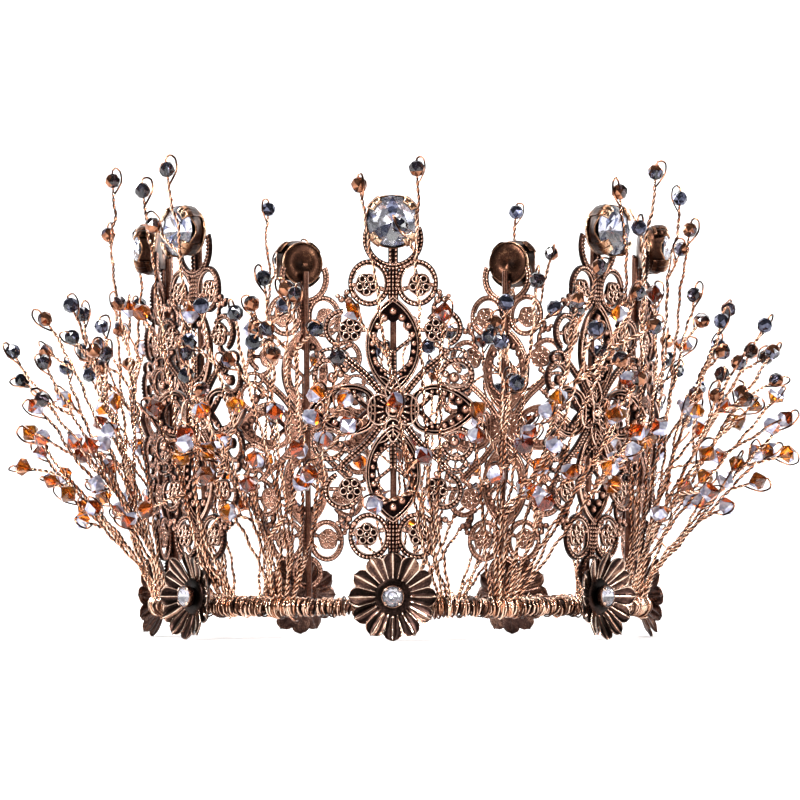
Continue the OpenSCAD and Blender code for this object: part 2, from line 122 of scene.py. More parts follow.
def carried_axes(path):
    """Two axes across an open path that turn as little as they can along it."""
    t = directions(path, closed=False)
    a = np.zeros_like(t)
    start = [1.0, 0, 0] if abs(t[0][0]) < 0.8 else [0, 1.0, 0]
    a[0] = unit(np.cross(t[0], start))
    for i in range(1, len(t)):
        v = a[i - 1] - t[i] * (a[i - 1] @ t[i])
        a[i] = v / math.sqrt(v @ v)
    return a, np.cross(t, a)


def turn_z(p, degrees):
    c, s = math.cos(math.radians(degrees)), math.sin(math.radians(degrees))
    return p @ np.array([[c, s, 0], [-s, c, 0], [0, 0, 1]])


def facing_out(distance, height, lean=0.0):
    """Turns points drawn with their face to +Z so that they face outward at unit 1, upright."""
    a = math.radians(90 + lean)
    tilt = np.array([[1, 0, 0], [0, math.cos(a), -math.sin(a)], [0, math.sin(a), math.cos(a)]])
    return lambda p: p @ tilt.T + np.array([0, -distance, height])


# Meshes

def show(obj):
    bpy.context.scene.collection.objects.link(obj)
    return obj


class Shape:
    """A mesh in the making: points in mm, each with a lift (0 in a recess, 1 on a worn edge; the lift darkens
    recesses with patina and painted shade and lightens raised edges with wear and painted highlight), and
    faces, each with a material slot and smooth or flat."""

    def __init__(self):
        self.points, self.lifts, self.faces, self.slots, self.smooth = [], [], [], [], []
        self.count = 0

    def add(self, points, faces, lift=1.0, smooth=True):
        self.points.append(points)
        self.lifts.append(np.broadcast_to(lift, len(points)))
        self.faces += [tuple(i + self.count for i in f) for f in faces]
        self.slots += [0] * len(faces)
        self.smooth += [smooth] * len(faces)
        self.count += len(points)

    def take(self, other, move=lambda p: p, flip=False):
        self.points += [move(p) for p in other.points]
        self.lifts += other.lifts
        self.faces += [tuple(i + self.count for i in (f[::-1] if flip else f)) for f in other.faces]
        self.slots += other.slots
        self.smooth += other.smooth
        self.count += other.count

    def object(self, name, materials, face_values=None):
        mesh = bpy.data.meshes.new(name)
        mesh.from_pydata((np.concatenate(self.points) * MM).tolist(), [], self.faces)
        rows = [("lift", "POINT", np.concatenate(self.lifts))]
        rows += [(key, "FACE", values) for key, values in (face_values or {}).items()]
        for key, domain, values in rows:
            mesh.attributes.new(key, "FLOAT", domain).data.foreach_set("value", np.array(values, np.float32))
        for m in materials:
            mesh.materials.append(m)
        mesh.polygons.foreach_set("material_index", self.slots)
        mesh.polygons.foreach_set("use_smooth", self.smooth)
        mesh.update()
        return show(bpy.data.objects.new(name, mesh))


def outward(points, faces):
    """The faces, turned so that they face out of the closed shape."""
    middle = points.mean(0)
    volume = 0.0
    for n in {len(f) for f in faces}:
        some = np.array([f for f in faces if len(f) == n])
        for j in range(1, n - 1):
            a, b, c = (points[some[:, i]] - middle for i in (0, j, j + 1))
            volume += (a * np.cross(b, c)).sum()
    return faces if volume > 0 else [f[::-1] for f in faces]


def grid_faces(rows, columns, wrap_rows=False, wrap_columns=True):
    """Quads of a grid of points, rows by columns."""
    found = []
    for i in range(rows if wrap_rows else rows - 1):
        for j in range(columns if wrap_columns else columns - 1):
            a, b = i * columns, (i + 1) % rows * columns
            k = (j + 1) % columns
            found.append((a + j, a + k, b + k, b + j))
    return found


def skin(points, rows, columns, closed):
    """The faces of rows of points, each row a ring, with a cap on the first and last row unless closed."""
    faces = grid_faces(rows, columns, wrap_rows=closed)
    if not closed:
        faces += [tuple(range(columns))[::-1], tuple(range((rows - 1) * columns, rows * columns))]
    return outward(points, faces)


def sweep(shape, path, section, closed=False, on_plate=False, lift=1.0):
    """Sweeps a closed section, rows of [across, up], along a path, with up to +Z for a line on the plate.
    There may be a section and a row of lifts for each point of the path."""
    if on_plate:
        high = np.broadcast_to([0, 0, 1.0], path.shape)
        across = unit(np.cross(directions(path, closed), high))
    else:
        across, high = carried_axes(path)
    n, m = len(path), section.shape[-2]
    points = path[:, None] + (section[..., :1] * across[:, None] + section[..., 1:] * high[:, None])
    points = points.reshape(-1, 3)
    lift = np.asarray(lift, float)
    if lift.ndim == 1 and len(lift) != m:
        lift = lift[:, None]
    shape.add(points, skin(points, n, m, closed), np.broadcast_to(lift, (n, m)).reshape(-1))


def revolve(shape, section, sides, lift, first=0.0, turn=360.0):
    """Turns a section, rows of [radius, height], round +Z, whole or over a part of a turn. A radius or height
    may have a value for each step of the turn."""
    whole = abs(turn) >= 360
    a = np.radians(first + np.linspace(0, turn, sides if whole else sides + 1, endpoint=not whole))
    m = len(section)
    points = np.stack([flat(on_circle(a, r), z) for r, z in section], 1).reshape(-1, 3)
    shape.add(points, skin(points, len(a), m, whole), np.tile(lift, len(a) if np.ndim(lift) else len(points)))


def mirrored(shape, draw, ways):
    """Draws a part once and adds it in each way, a pair of signs for X and Y."""
    part = Shape()
    draw(part)
    for sx, sy in ways:
        shape.take(part, lambda p: p * [sx, sy, 1], flip=sx * sy < 0)


# Raised lines. Their sections are [across, up] in half widths and heights, and the last point is a soft rise
# on the back. Their lifts keep the sides, necks and feet dark and the crests bright: partly patina and wear,
# partly painted shade and painted highlight
RIDGE = np.array([[-1, 0], [-0.8, 0.72], [0, 1], [0.8, 0.72], [1, 0], [0, -0.15]])
RIDGE_LIFT = np.array([0.25, 0.4, 1.0, 0.4, 0.25, 0.8])
ROPE_PITCH, ROPE_SWELL = 0.95, [0.0, 1.0, 1.0]
ROPE_NECK = np.array([[-1, 0], [-0.9, 0.4], [0, 0.5], [0.9, 0.4], [1, 0], [0, -0.05]])
ROPE_BEAD = np.array([[-1, 0], [-0.72, 0.68], [0, 1], [0.72, 0.68], [1, 0], [0, -0.17]])
ROPE_NECK_LIFT = np.array([0.25, 0.02, 0.1, 0.02, 0.25, 0.45])
ROPE_BEAD_LIFT = np.array([0.25, 0.16, 0.92, 0.16, 0.25, 0.8])
GRANULE_LIFT = [0.3, 0.02, 0.36, 0.72, 0.82, 0.7]
BACK_LIFT, FLOOR_LIFT = 0.5, 0.04
LINE_STEP = 0.6


def ridge(shape, path, width, top, closed=False, wear_and_highlight=1.0):
    """A smooth raised line on the plate. Its lifts are scaled by the last argument, partly for wear and
    partly for painted highlight.
    """
    sweep(shape, flat(path), RIDGE * [width / 2, top], closed, True, RIDGE_LIFT * wear_and_highlight)


def rope(shape, path, width, top, closed=False):
    """A row of little beads on a dark strip, like a twisted rope."""
    ring = np.concatenate([path, path[:1]]) if closed else path
    s = lengths(ring)
    beads = max(2, int(round(s[-1] / ROPE_PITCH)))
    fine = places_at(ring, s, np.linspace(0, s[-1], 3 * beads + 1))
    swell = np.tile(ROPE_SWELL, beads + 1)[: len(fine), None]
    if closed:
        fine, swell = fine[:-1], swell[:-1]
    section = (ROPE_NECK + swell[..., None] * (ROPE_BEAD - ROPE_NECK)) * [width / 2, top]
    lift = ROPE_NECK_LIFT + swell * (ROPE_BEAD_LIFT - ROPE_NECK_LIFT)
    sweep(shape, flat(fine), section, closed, True, lift)


def band(shape, outer, inner, top):
    """A flat strip between two closed paths with as many points."""
    points = np.concatenate([flat(outer), flat(outer, top), flat(inner, top), flat(inner)])
    lifts = np.repeat([BACK_LIFT, FLOOR_LIFT, FLOOR_LIFT, BACK_LIFT], len(outer))
    shape.add(points, skin(points, 4, len(outer), True), lifts, smooth=False)


def slab(shape, outline, top, lift=FLOOR_LIFT):
    """A flat plate inside a closed path that can be seen whole from its middle."""
    n = len(outline)
    x, y = np.mean(outline, axis=0)
    points = np.concatenate([flat(outline), flat(outline, top), [[x, y, 0], [x, y, top]]])
    faces = []
    for i in range(n):
        j = (i + 1) % n
        faces += [(i, j, n + j, n + i), (n + i, n + j, 2 * n + 1), (j, i, 2 * n)]
    lifts = np.repeat([BACK_LIFT, lift, BACK_LIFT, lift], [n, n, 1, 1])
    shape.add(points, outward(points, faces), lifts, smooth=False)


def granule(shape, x, y, r, base=0.3, sides=7):
    """A ball half sunk in the plate, with a soft rise on the back."""
    rows = ((1.0, 0.0), (1.0, base), (0.88, base + 0.48 * r), (0.5, base + 0.87 * r))
    rings = [flat(on_circle(even_angles(sides), share * r) + [x, y], z) for share, z in rows]
    points = np.concatenate([*rings, [[x, y, base + r], [x, y, -0.3 * r]]])
    faces = grid_faces(4, sides)
    for i in range(sides):
        j = (i + 1) % sides
        faces += [(3 * sides + i, 3 * sides + j, 4 * sides), (j, i, 4 * sides + 1)]
    shape.add(points, faces, np.repeat(GRANULE_LIFT, [sides] * 4 + [1, 1]))


def granules(shape, path, radius_at, gap, mirror=(-1, 1)):
    """Granules along a path that starts on a middle line, and their mirror images. radius_at gives the
    radius at a place."""
    s = lengths(path)
    at = 0.0
    while at < s[-1]:
        x, y = p = places_at(path, s, at)
        r = radius_at(p)
        if at > 0 and abs(x if mirror[0] < 0 else y) < r:
            return
        for sx, sy in ((1, 1), mirror)[: 1 if at == 0 else 2]:
            granule(shape, x * sx, y * sy, r, sides=7 if r < 0.7 else 9)
        at += r + radius_at(places_at(path, s, at + 2 * r + gap)) + gap


def small_ring(shape, x, y, r, width, top, sides, wear_and_highlight=1.2):
    ridge(shape, on_circle(even_angles(sides), r) + [x, y], width, top, closed=True, wear_and_highlight=wear_and_highlight)


def ball(shape, centre, r, sides, rows):
    b = np.linspace(-math.pi / 2, math.pi / 2, rows + 1)[1:-1]
    rings = [flat(on_circle(even_angles(sides), r * math.cos(t)), r * math.sin(t)) for t in b]
    points = np.concatenate([*rings, [[0, 0, -r], [0, 0, r]]])
    n = len(b) * sides
    faces = grid_faces(len(b), sides)
    faces += [((i + 1) % sides, i, n) for i in range(sides)]
    faces += [(n - sides + i, n - sides + (i + 1) % sides, n + 1) for i in range(sides)]
    shape.add(points + centre, outward(points, faces))


# The filigree panel, drawn in XY with its middle at the origin

def loop_path(x, y, rx, ry):
    cuts = max(8, int(2 * math.pi * math.sqrt((rx * rx + ry * ry) / 2) / LINE_STEP))
    return on_circle(even_angles(cuts)) * [rx, ry] + [x, y]


def almond(y, half_h, half_w, cuts=26):
    """An upright pointed oval made of two arcs, as a closed path with 2 * cuts points."""
    r = (half_h**2 + half_w**2) / (2 * half_w)
    a = math.asin(half_h / r)
    side = on_circle(np.linspace(-a, a, cuts + 1)[:-1], r) - [r - half_w, 0]
    return np.concatenate([side, -side]) + [0, y]


def upright_oval(shape):
    """The tall pointed oval over the panel's middle, with its granules and its inner lattice."""
    y, half_h, half_w = 15.2, 11.8, 6.7
    outer = almond(y, half_h - 0.25, half_w - 0.25)
    ridge(shape, outer, 0.5, 1.4, closed=True)
    ridge(shape, almond(y, half_h - 1.2, half_w - 0.82), 0.34, 1.15, closed=True)
    band(shape, outer, almond(y, half_h - 3.2, half_w - 2.6), 0.35)
    slab(shape, almond(22.9, 2.2, 1.9, 10), 0.32)
    cuts = 60
    row = almond(y, half_h - 3.7, half_w - 1.72, cuts)[cuts::-1]
    granules(shape, row, lambda p: 0.5 + 0.6 * min(1, max(0, (p[1] - 9) / 13)), gap=0.42)
    for x in (-1, 1):
        rope(shape, curve([[0, 8.0], [x * 1.9, 9.2], [x * 3.7, 10.9]], 0.5), 0.95, 1.15)
        rope(shape, curve([[0, 13.4], [x * 1.8, 15.0], [x * 3.9, 16.6]], 0.5), 0.95, 1.15)
        granule(shape, x * 4.1, 11.1, 0.85, 0.35, 8)
        granule(shape, x * 4.0, 16.8, 0.6, 0.35)
        rope(shape, [[x * 0.5, 7.9], [x * 0.5, 13.6]], 0.85, 1.15)
        ridge(shape, curve([[x * 0.3, 5.8], [x * 1.7, 7.3], [x * 3.4, 8.0]], 0.5), 0.4, 1.0)


# Half outlines of the side petal, from its tip to its root
LEAF = [[20.2, 0], [18.3, 2.2], [15.5, 4.3], [12.3, 5.65], [9.4, 5.9], [6.9, 5.2], [5.1, 4.0], [4.4, 2.2],
        [4.3, 0]]
LEAF_INNER = [[19.0, 0], [17.4, 1.8], [15.0, 3.6], [12.1, 4.85], [9.4, 5.1], [7.4, 4.6], [5.9, 3.6],
              [5.3, 2.0], [5.2, 0]]
LEAF_HOLE = [[15.2, 0], [15.1, 0.7], [14.4, 1.8], [13.0, 2.7], [11.2, 3.2], [9.4, 3.3], [8.4, 3.9],
             [7.3, 4.0], [6.3, 3.3], [5.8, 2.0], [5.7, 0]]
LEAF_ROW = [[17.2, 0], [15.9, 1.8], [14.0, 3.15], [11.6, 4.05], [9.3, 4.2], [8.4, 3.9]]
LEAF_CUTS = 56


def leaf(edge):
    """A closed path of equal steps from the tip over the points of the upper edge and back under."""
    edge = np.array(edge)
    ring = curve(np.concatenate([edge, edge[-2:0:-1] * [1, -1], edge[:1]]), 0.3)
    s = lengths(ring)
    return places_at(ring, s, np.linspace(0, s[-1], LEAF_CUTS, endpoint=False))


def side_petal(shape):
    """The pointed petal at the panel's right, with granules that grow towards its tip."""
    outer = leaf(LEAF)
    ridge(shape, outer, 0.5, 1.4, closed=True)
    ridge(shape, leaf(LEAF_INNER), 0.34, 1.15, closed=True)
    band(shape, outer, leaf(LEAF_HOLE), 0.35)
    granules(shape, curve(LEAF_ROW, 0.3), lambda p: 0.52 + 0.73 * min(1, max(0, (p[0] - 8.0) / 9)) ** 1.2,
             gap=0.1, mirror=(1, -1))
    for y in (-1, 1):
        fork = curve([[5.6, 0.2 * y], [7.2, 1.4 * y], [9.0, 3.3 * y]], 0.4)
        ridge(shape, fork, 1.3, 0.7, wear_and_highlight=0.3)
        ridge(shape, beside(fork, 0.5 * y), 0.34, 1.15)
        granule(shape, 8.0, 2.4 * y, 0.5, 0.4)
        granule(shape, 9.1, 3.3 * y, 0.62, 0.4)


def rosette(shape, x, y, r, turn):
    """Five little rings round one, on a scalloped plate."""
    a = np.radians(turn) + even_angles(30)
    edge = r * (0.88 + 0.1 * np.abs(np.cos(2.5 * (a - np.radians(turn)))))
    outline = on_circle(a, edge) + [x, y]
    slab(shape, outline, 0.5, lift=0.08)
    ridge(shape, outline, 0.34, 1.0, closed=True, wear_and_highlight=0.9)
    for i in range(5):
        px, py = on_circle(math.radians(turn + 72 * i), 0.6 * r) + [x, y]
        small_ring(shape, px, py, 0.28 * r, 0.44, 1.3, 9)
    small_ring(shape, x, y, 0.2 * r, 0.38, 1.3, 8)


# Scrolls of one quarter: x, y, half width, half height, first angle, last angle
SCROLLS = [
    [15.2, 8.2, 3.65, 3.65, -150, 165],
    [12.0, 19.3, 4.1, 4.1, -70, 150],
    [5.7, 30.1, 4.5, 5.1, 0, 360],
]
# Balls of one quarter: x, y, radius. The first three end the stem inside the lowest scroll
STEM_BALLS = [[11.3, 9.4, 0.75], [12.5, 8.4, 0.95], [14.5, 7.6, 1.4]]
BALLS = [
    [10.3, 15.4, 0.85], [14.0, 18.9, 0.6], [7.0, 18.9, 0.6], [9.7, 22.5, 0.6], [9.8, 24.2, 0.7],
    [10.6, 26.0, 1.0], [12.3, 26.2, 0.9], [13.2, 27.0, 0.65], [9.4, 27.2, 0.8], [11.0, 27.9, 0.8],
    [9.5, 29.6, 0.6], [2.7, 28.7, 0.7], [17.2, 12.9, 0.75], [12.6, 22.9, 0.5], [18.4, 8.6, 0.7],
]
# Double rope of one quarter that runs down to the panel's middle
TRUNK = [[13.0, 14.2], [10.9, 12.0], [8.6, 10.1], [6.5, 8.2], [4.6, 6.0], [2.9, 3.7], [2.2, 2.8]]
# Bars of one quarter that join its parts
LINKS = [
    [[6.6, 18.9], [8.0, 18.9]], [[12.8, 18.9], [15.6, 18.9]], [[9.7, 21.6], [9.6, 24.3], [10.4, 25.7]],
    [[10.4, 25.7], [11.5, 27.6]], [[10.4, 25.9], [12.9, 26.4]], [[1.3, 28.2], [4.2, 29.2]],
    [[8.5, 29.7], [10.2, 29.6]],
]


def quarter(shape):
    """The scrolls, rosettes and links of the panel's upper right quarter."""
    for x, y, rx, ry, first, last in SCROLLS:
        circle = on_circle(np.radians(np.linspace(first, last, 61)))
        rope(shape, circle * [rx, ry] + [x, y], 1.2, 1.25)
        ridge(shape, circle[2:-2:2] * [rx - 0.72, ry - 0.72] + [x, y], 0.34, 1.05)
    rosette(shape, 10.2, 18.9, 2.9, 18)
    rosette(shape, 6.3, 29.7, 2.8, 54)
    rope(shape, curve([[10.2, 10.4], [11.4, 9.2], [12.6, 8.4]], 0.5), 1.1, 0.8)
    for x, y, r in STEM_BALLS:
        granule(shape, x, y, r, 0.4, sides=11)
    blade = curve([[11.3, 6.2], [13.3, 5.0], [15.8, 4.6], [18.0, 5.5]], LINE_STEP)
    ridge(shape, blade, 1.5, 0.85, wear_and_highlight=0.45)
    ridge(shape, beside(blade, 0.55), 0.36, 1.1)
    # Little oval loop over the lowest scroll
    rope(shape, loop_path(14.9, 12.9, 2.6, 1.5), 1.0, 1.2, closed=True)
    for side in (0.42, -0.42):
        rope(shape, beside(curve(TRUNK, 0.5), side), 0.95, 1.2)
    rope(shape, curve([[10.0, 15.9], [11.3, 14.6], [12.8, 13.9]], 0.5), 1.2, 1.15)
    for x, y, r in BALLS:
        granule(shape, x, y, r, 0.4)
    for path in LINKS:
        ridge(shape, curve(path, LINE_STEP), 1.1, 0.75, wear_and_highlight=0.6)


# Lobes of the middle flower: angle and reach of its ribs, and of the balls between them
RIBS = [(-54, 3.7), (-35, 4.3), (-12, 4.8), (12, 4.8), (35, 4.3), (54, 3.7)]
RIB_BALLS = [(-45, 4.2), (-23, 4.75), (0, 5.0), (23, 4.75), (45, 4.2)]
BIG_LOBE = [[1.2, 2.2], [2.3, 3.4], [3.6, 3.6], [4.8, 3.0], [5.7, 1.7], [6.0, 0]]
SMALL_LOBE = [[0, 2.2], [1.2, 2.7], [1.9, 4.3], [1.2, 6.2], [0, 7.8], [-1.2, 6.2], [-1.9, 4.3], [-1.2, 2.7]]
LOBE_TOP, LOBE_LIFT, LOBE_WEAR_AND_HIGHLIGHT = 0.6, 0.06, 1.1


def middle_flower(shape):
    """The four-lobed flower at the panel's middle: dark lobes with bright ribs and a raised outline."""
    lobe = np.array(BIG_LOBE + [[x, -y] for x, y in BIG_LOBE[-2::-1]])
    for sx in (1, -1):
        outline = curve(lobe * [sx, 1], LINE_STEP, closed=True)
        slab(shape, outline, LOBE_TOP, LOBE_LIFT)
        ridge(shape, outline, 0.62, 1.4, closed=True, wear_and_highlight=LOBE_WEAR_AND_HIGHLIGHT)
        for angle, reach in RIBS:
            ray = on_circle(math.radians(angle)) * [sx, 1]
            rib = np.array([[2.3], [reach / 2 + 0.9], [reach - 0.5]]) * ray
            ridge(shape, rib, 0.62, 1.1, wear_and_highlight=LOBE_WEAR_AND_HIGHLIGHT)
            granule(shape, *(reach * ray), 0.4, LOBE_TOP, 6)
        for angle, reach in RIB_BALLS:
            granule(shape, *(reach * on_circle(math.radians(angle)) * [sx, 1]), 0.34, LOBE_TOP, 6)
    for sy in (1, -1):
        outline = curve(np.array(SMALL_LOBE) * [1, sy], LINE_STEP, closed=True)
        slab(shape, outline, LOBE_TOP, LOBE_LIFT)
        ridge(shape, outline, 0.56, 1.4, closed=True, wear_and_highlight=LOBE_WEAR_AND_HIGHLIGHT)
        ridge(shape, [[0, sy * 2.9], [0, sy * 4.8], [0, sy * 6.6]], 0.46, 1.15, wear_and_highlight=LOBE_WEAR_AND_HIGHLIGHT)
        for x in (-1, 1):
            for y in (3.6, 4.8):
                vein = np.array([[0.2, y], [0.6, y + 0.2], [1.1, y + 0.3]])
                ridge(shape, vein * [x, sy], 0.4, 1.05)
    slab(shape, loop_path(0, 0, 1.95, 1.95), 0.8, lift=0.03)
    small_ring(shape, 0, 0, 1.65, 0.5, 1.6, 18, wear_and_highlight=LOBE_WEAR_AND_HIGHLIGHT)
    ball(shape, [0, 0, 1.2], 1.0, 12, 6)


def filigree():
    """The pierced panel without its cup."""
    shape = Shape()
    mirrored(shape, upright_oval, [(1, 1), (1, -1)])
    mirrored(shape, side_petal, [(1, 1), (-1, 1)])
    mirrored(shape, quarter, [(1, 1), (1, -1), (-1, 1), (-1, -1)])
    middle_flower(shape)
    # Granulated bars between the upright ovals and the loops at the panel's ends
    for sy in (1, -1):
        slab(shape, np.array([[-1.3, 25.4], [1.3, 25.4], [1.3, 35.2], [-1.3, 35.2]]) * [1, sy], 0.5)
        for x in (-0.8, 0, 0.8):
            rope(shape, [[x, sy * 25.4], [x, sy * 35.0]], 0.8, 1.15)
    # Loop at the foot, and the open loops and stem that carry the cup
    rope(shape, loop_path(0, -38.6, 4.0, 4.0), 1.2, 1.2, closed=True)
    ridge(shape, loop_path(0, -38.6, 3.3, 3.3), 0.34, 1.0, closed=True)
    for r in (6.85, 6.05):
        cuts = int(math.radians(230) * r / LINE_STEP)
        arc = on_circle(np.radians(np.linspace(-205, 25, cuts + 1)), r)
        rope(shape, arc + [0, 40.5], 0.95, 1.2)
    slab(shape, [[-1.2, 33.6], [1.2, 33.6], [1.2, 39.0], [-1.2, 39.0]], 0.5)
    for x in (-0.7, 0.7):
        rope(shape, [[x, 34.6], [x, 39.5]], 0.95, 1.2)
    return shape


def cup():
    """Cup of the top stone with its four folded claws, its back at the origin and its mouth to +Z. The wall
    is cut down between the claws."""
    shape = Shape()
    seat_r = STONE_R + 0.2
    near_claw = np.clip(np.abs(np.sin(2 * even_angles(48))) * 1.5 - 0.4, 0, 1)
    top = 3.5 + 1.4 * near_claw
    wall = [(0.01, 0), (5.0, 0), (5.3, 0.15), (5.85, 2.0), (6.2 + 0.3 * near_claw, top - 0.5),
            (6.4 + 0.3 * near_claw, top - 0.1), (6.35 + 0.25 * near_claw, top + 0.1), (seat_r, top),
            (seat_r, 3.2), (seat_r - 2, CUP_FLOOR), (0.01, CUP_FLOOR)]
    revolve(shape, wall, len(near_claw), [0.3, 0.3, 0.5, 0.12, 0.2, 0.6, 0.6, 0.3, 0.05, 0.05, 0.05])
    claw = [[seat_r + 0.1, 4.2], [CUP_R + 0.1, 2.6], [CUP_R + 0.25, 4.6], [6.6, 5.7], [5.5, 6.35], [4.9, 6.2],
            [5.1, 5.85], [6.25, 5.2]]
    claw_lift = [0.15, 0.1, 0.35, 0.7, 0.85, 0.7, 0.3, 0.15]
    claw_root = [[CUP_R - 0.3, 1.6], [CUP_R - 0.1, 1.6], [CUP_R + 0.16, 4.4], [CUP_R - 0.1, 4.4]]
    for at in (45, 135, 225, 315):
        for side in (-8.5, 8.5):
            revolve(shape, claw, 4, claw_lift, first=at + side - 7.9, turn=15.8)
        revolve(shape, claw_root, 6, 0.35, first=at - 16, turn=32)
    revolve(shape, [[5.2, 0.0], [5.75, 0.05], [5.85, 0.45], [5.55, 0.7]], 36, [0.1, 0.6, 0.8, 0.4])
    return shape


def brilliant(r, pavilion, crown):
    """A cut stone with its culet at the origin: a table, star and kite facets and a girdle, and in the second
    material slot the pavilion."""
    sides = 8
    top = pavilion + 0.06 * r
    a = even_angles(sides)
    h = a + math.pi / sides
    both = np.sort(np.concatenate([a, h]))
    rings = ((0.58 * r, top + crown, a), (0.8 * r, top + 0.55 * crown, h), (r, top, both),
             (r, pavilion, both), (0.5 * r, 0.5 * pavilion, h))
    points = np.concatenate([flat(on_circle(at, radius), z) for radius, z, at in rings] + [[[0, 0, 0]]])
    kites, girdle, low, culet = sides, 2 * sides, 6 * sides, 7 * sides
    front, back = [tuple(range(sides))], []
    for i in range(sides):
        j, before = (i + 1) % sides, (i - 1) % sides
        g0, g1, g2 = girdle + 2 * i, girdle + 2 * i + 1, girdle + (2 * i + 2) % (2 * sides)
        u0, u1, u2 = g0 + 2 * sides, g1 + 2 * sides, g2 + 2 * sides
        front += [(kites + i, j, i), (i, kites + before, g0, kites + i), (kites + i, g0, g1),
                  (kites + i, g1, g2), (g0, u0, u1, g1), (g1, u1, u2, g2)]
        back += [(u0, low + i, u1), (u1, low + i, u2), (u0, low + before, culet, low + i)]
    faces = []
    for f in front + back:
        p = points[list(f)]
        normal = np.cross(p[1] - p[0], p[2] - p[0])
        faces.append(f if normal @ (p.mean(0) - [0, 0, pavilion]) > 0 else f[::-1])
    shape = Shape()
    shape.add(points, faces, smooth=False)
    shape.slots = [0] * len(front) + [1] * len(back)
    return shape


PETAL_ROOT, PETAL_SHEET = 3.4, 0.34
# Painted light levels for a petal's halves, from painted shade to lit
PETAL_HALF_LIGHTS = (-0.08, 0.0, 0.14, 0.3)


def blossom(seed):
    """Twelve ribbed petals and the bezel of a small stone, its back at the origin and its face to +Z."""
    chance = random.Random(seed)
    shape = Shape()
    across = np.array([-1, -0.95, -0.8, -0.45, -0.16, 0, 0.16, 0.45, 0.8, 0.95, 1.0])
    fold = np.array([0.3, 0.36, -0.02, -0.2, 0.0, 0.5, 0.0, -0.2, -0.02, 0.36, 0.3])
    # Lifts across a petal: its edges and midrib bright and the hollows beside the midrib dark, partly wear
    # and patina, partly painted highlight and painted shade
    wear_and_shading = np.array([0.6, 0.95, 0.15, 0.05, 0.28, 1.0, 0.28, 0.02, 0.1, 0.95, 0.6])
    along = np.linspace(0, 1, 12) ** 0.85
    r = PETAL_ROOT + along * (FLOWER_R - PETAL_ROOT)
    tip = 2.62 * np.sqrt(np.clip(1 - ((r - 7.4) / (FLOWER_R - 7.4)).clip(0, 1) ** 2.2, 0, 1))
    half = np.minimum(r * math.pi / PETALS * 1.13, np.maximum(tip, 0.06))
    dish = np.interp(r, [PETAL_ROOT, 4.4, 0.68 * FLOWER_R, FLOWER_R], [0.5, 0.2, 1.2, PETAL_RISE + 0.2])
    depth = np.interp(along, [0, 0.2, 0.85, 1], [0.3, 1, 1, 0.35])
    step = 0.42 * np.interp(along, [0, 0.3, 1], [0.2, 1, 1])
    # The lifts fade towards the petal's root, so it is darker there
    fade = np.interp(along, [0, 0.12, 1], [0.1, 1, 1])[:, None]
    shaded = np.interp(along, [0, 0.5, 1], [0.3, 1, 1.1])[:, None]
    y = across * half[:, None]
    x = r[:, None] + 0.35 * (along**5)[:, None] * (1 - np.abs(across)) ** 2

    n, m = len(along), len(across)
    count = n * m
    faces = grid_faces(n, m, wrap_columns=False)
    faces += [tuple(q + count for q in f[::-1]) for f in faces]
    rim = [*range(m), *range(2 * m - 1, count, m), *range(count - 2, count - m - 1, -1),
           *range((n - 2) * m, 0, -m)]
    faces += [(b, a, a + count, b + count) for a, b in zip(rim, rim[1:] + rim[:1])]

    for i in range(PETALS):
        bend = chance.uniform(-0.45, 0.5)
        twist = chance.uniform(-0.22, 0.22)
        # Each half petal gets a painted light level picked at random, from painted shade to lit
        left, right = (chance.choice(PETAL_HALF_LIGHTS) for _ in range(2))
        rise = dish + bend * along**2 + i % 2 * step
        z = rise[:, None] + fold * depth[:, None] + twist * y * along[:, None]
        top = np.stack([x, y, z], 2).reshape(-1, 3)
        points = np.concatenate([top, top - [0, 0, PETAL_SHEET]])
        half_light = np.interp(across, [-1, -0.1, 0.1, 1], [left, left, right, right])
        lift = np.clip(wear_and_shading * fade + half_light * shaded, 0, 1)
        shape.add(turn_z(points, 90 + i * 360 / PETALS), outward(points, faces),
                  np.concatenate([lift.reshape(-1), np.full(count, 0.35)]))

    revolve(shape, [[0.01, 0], [4.6, 0], [4.7, 0.35], [4.2, 0.7], [3.2, 0.75], [0.01, 0.8]], 24,
            [0.3, 0.4, 0.2, 0.05, 0.02, 0.02])
    bezel = FLOWER_STONE_R + 0.32
    revolve(shape, [[0.01, 0.5], [2.0, 0.5], [2.1, 1.3], [bezel, 1.9], [bezel, BEZEL_TOP - 0.3],
                    [bezel - 0.15, BEZEL_TOP - 0.1], [FLOWER_STONE_R + 0.05, BEZEL_TOP - 0.2],
                    [FLOWER_STONE_R + 0.1, 2.2], [1.0, BEZEL_FLOOR], [0.01, BEZEL_FLOOR]], 24,
            [0.05, 0.05, 0.1, 0.45, 0.4, 0.6, 0.5, 0.2, 0.1, 0.1])
    for at in (45, 135, 225, 315):
        revolve(shape, [[2.4, 2.9], [2.85, 2.8], [2.8, 3.4], [2.2, 3.7], [2.1, 3.55], [2.4, 3.3]], 3, 0.8,
                first=at - 9, turn=18)
    return shape


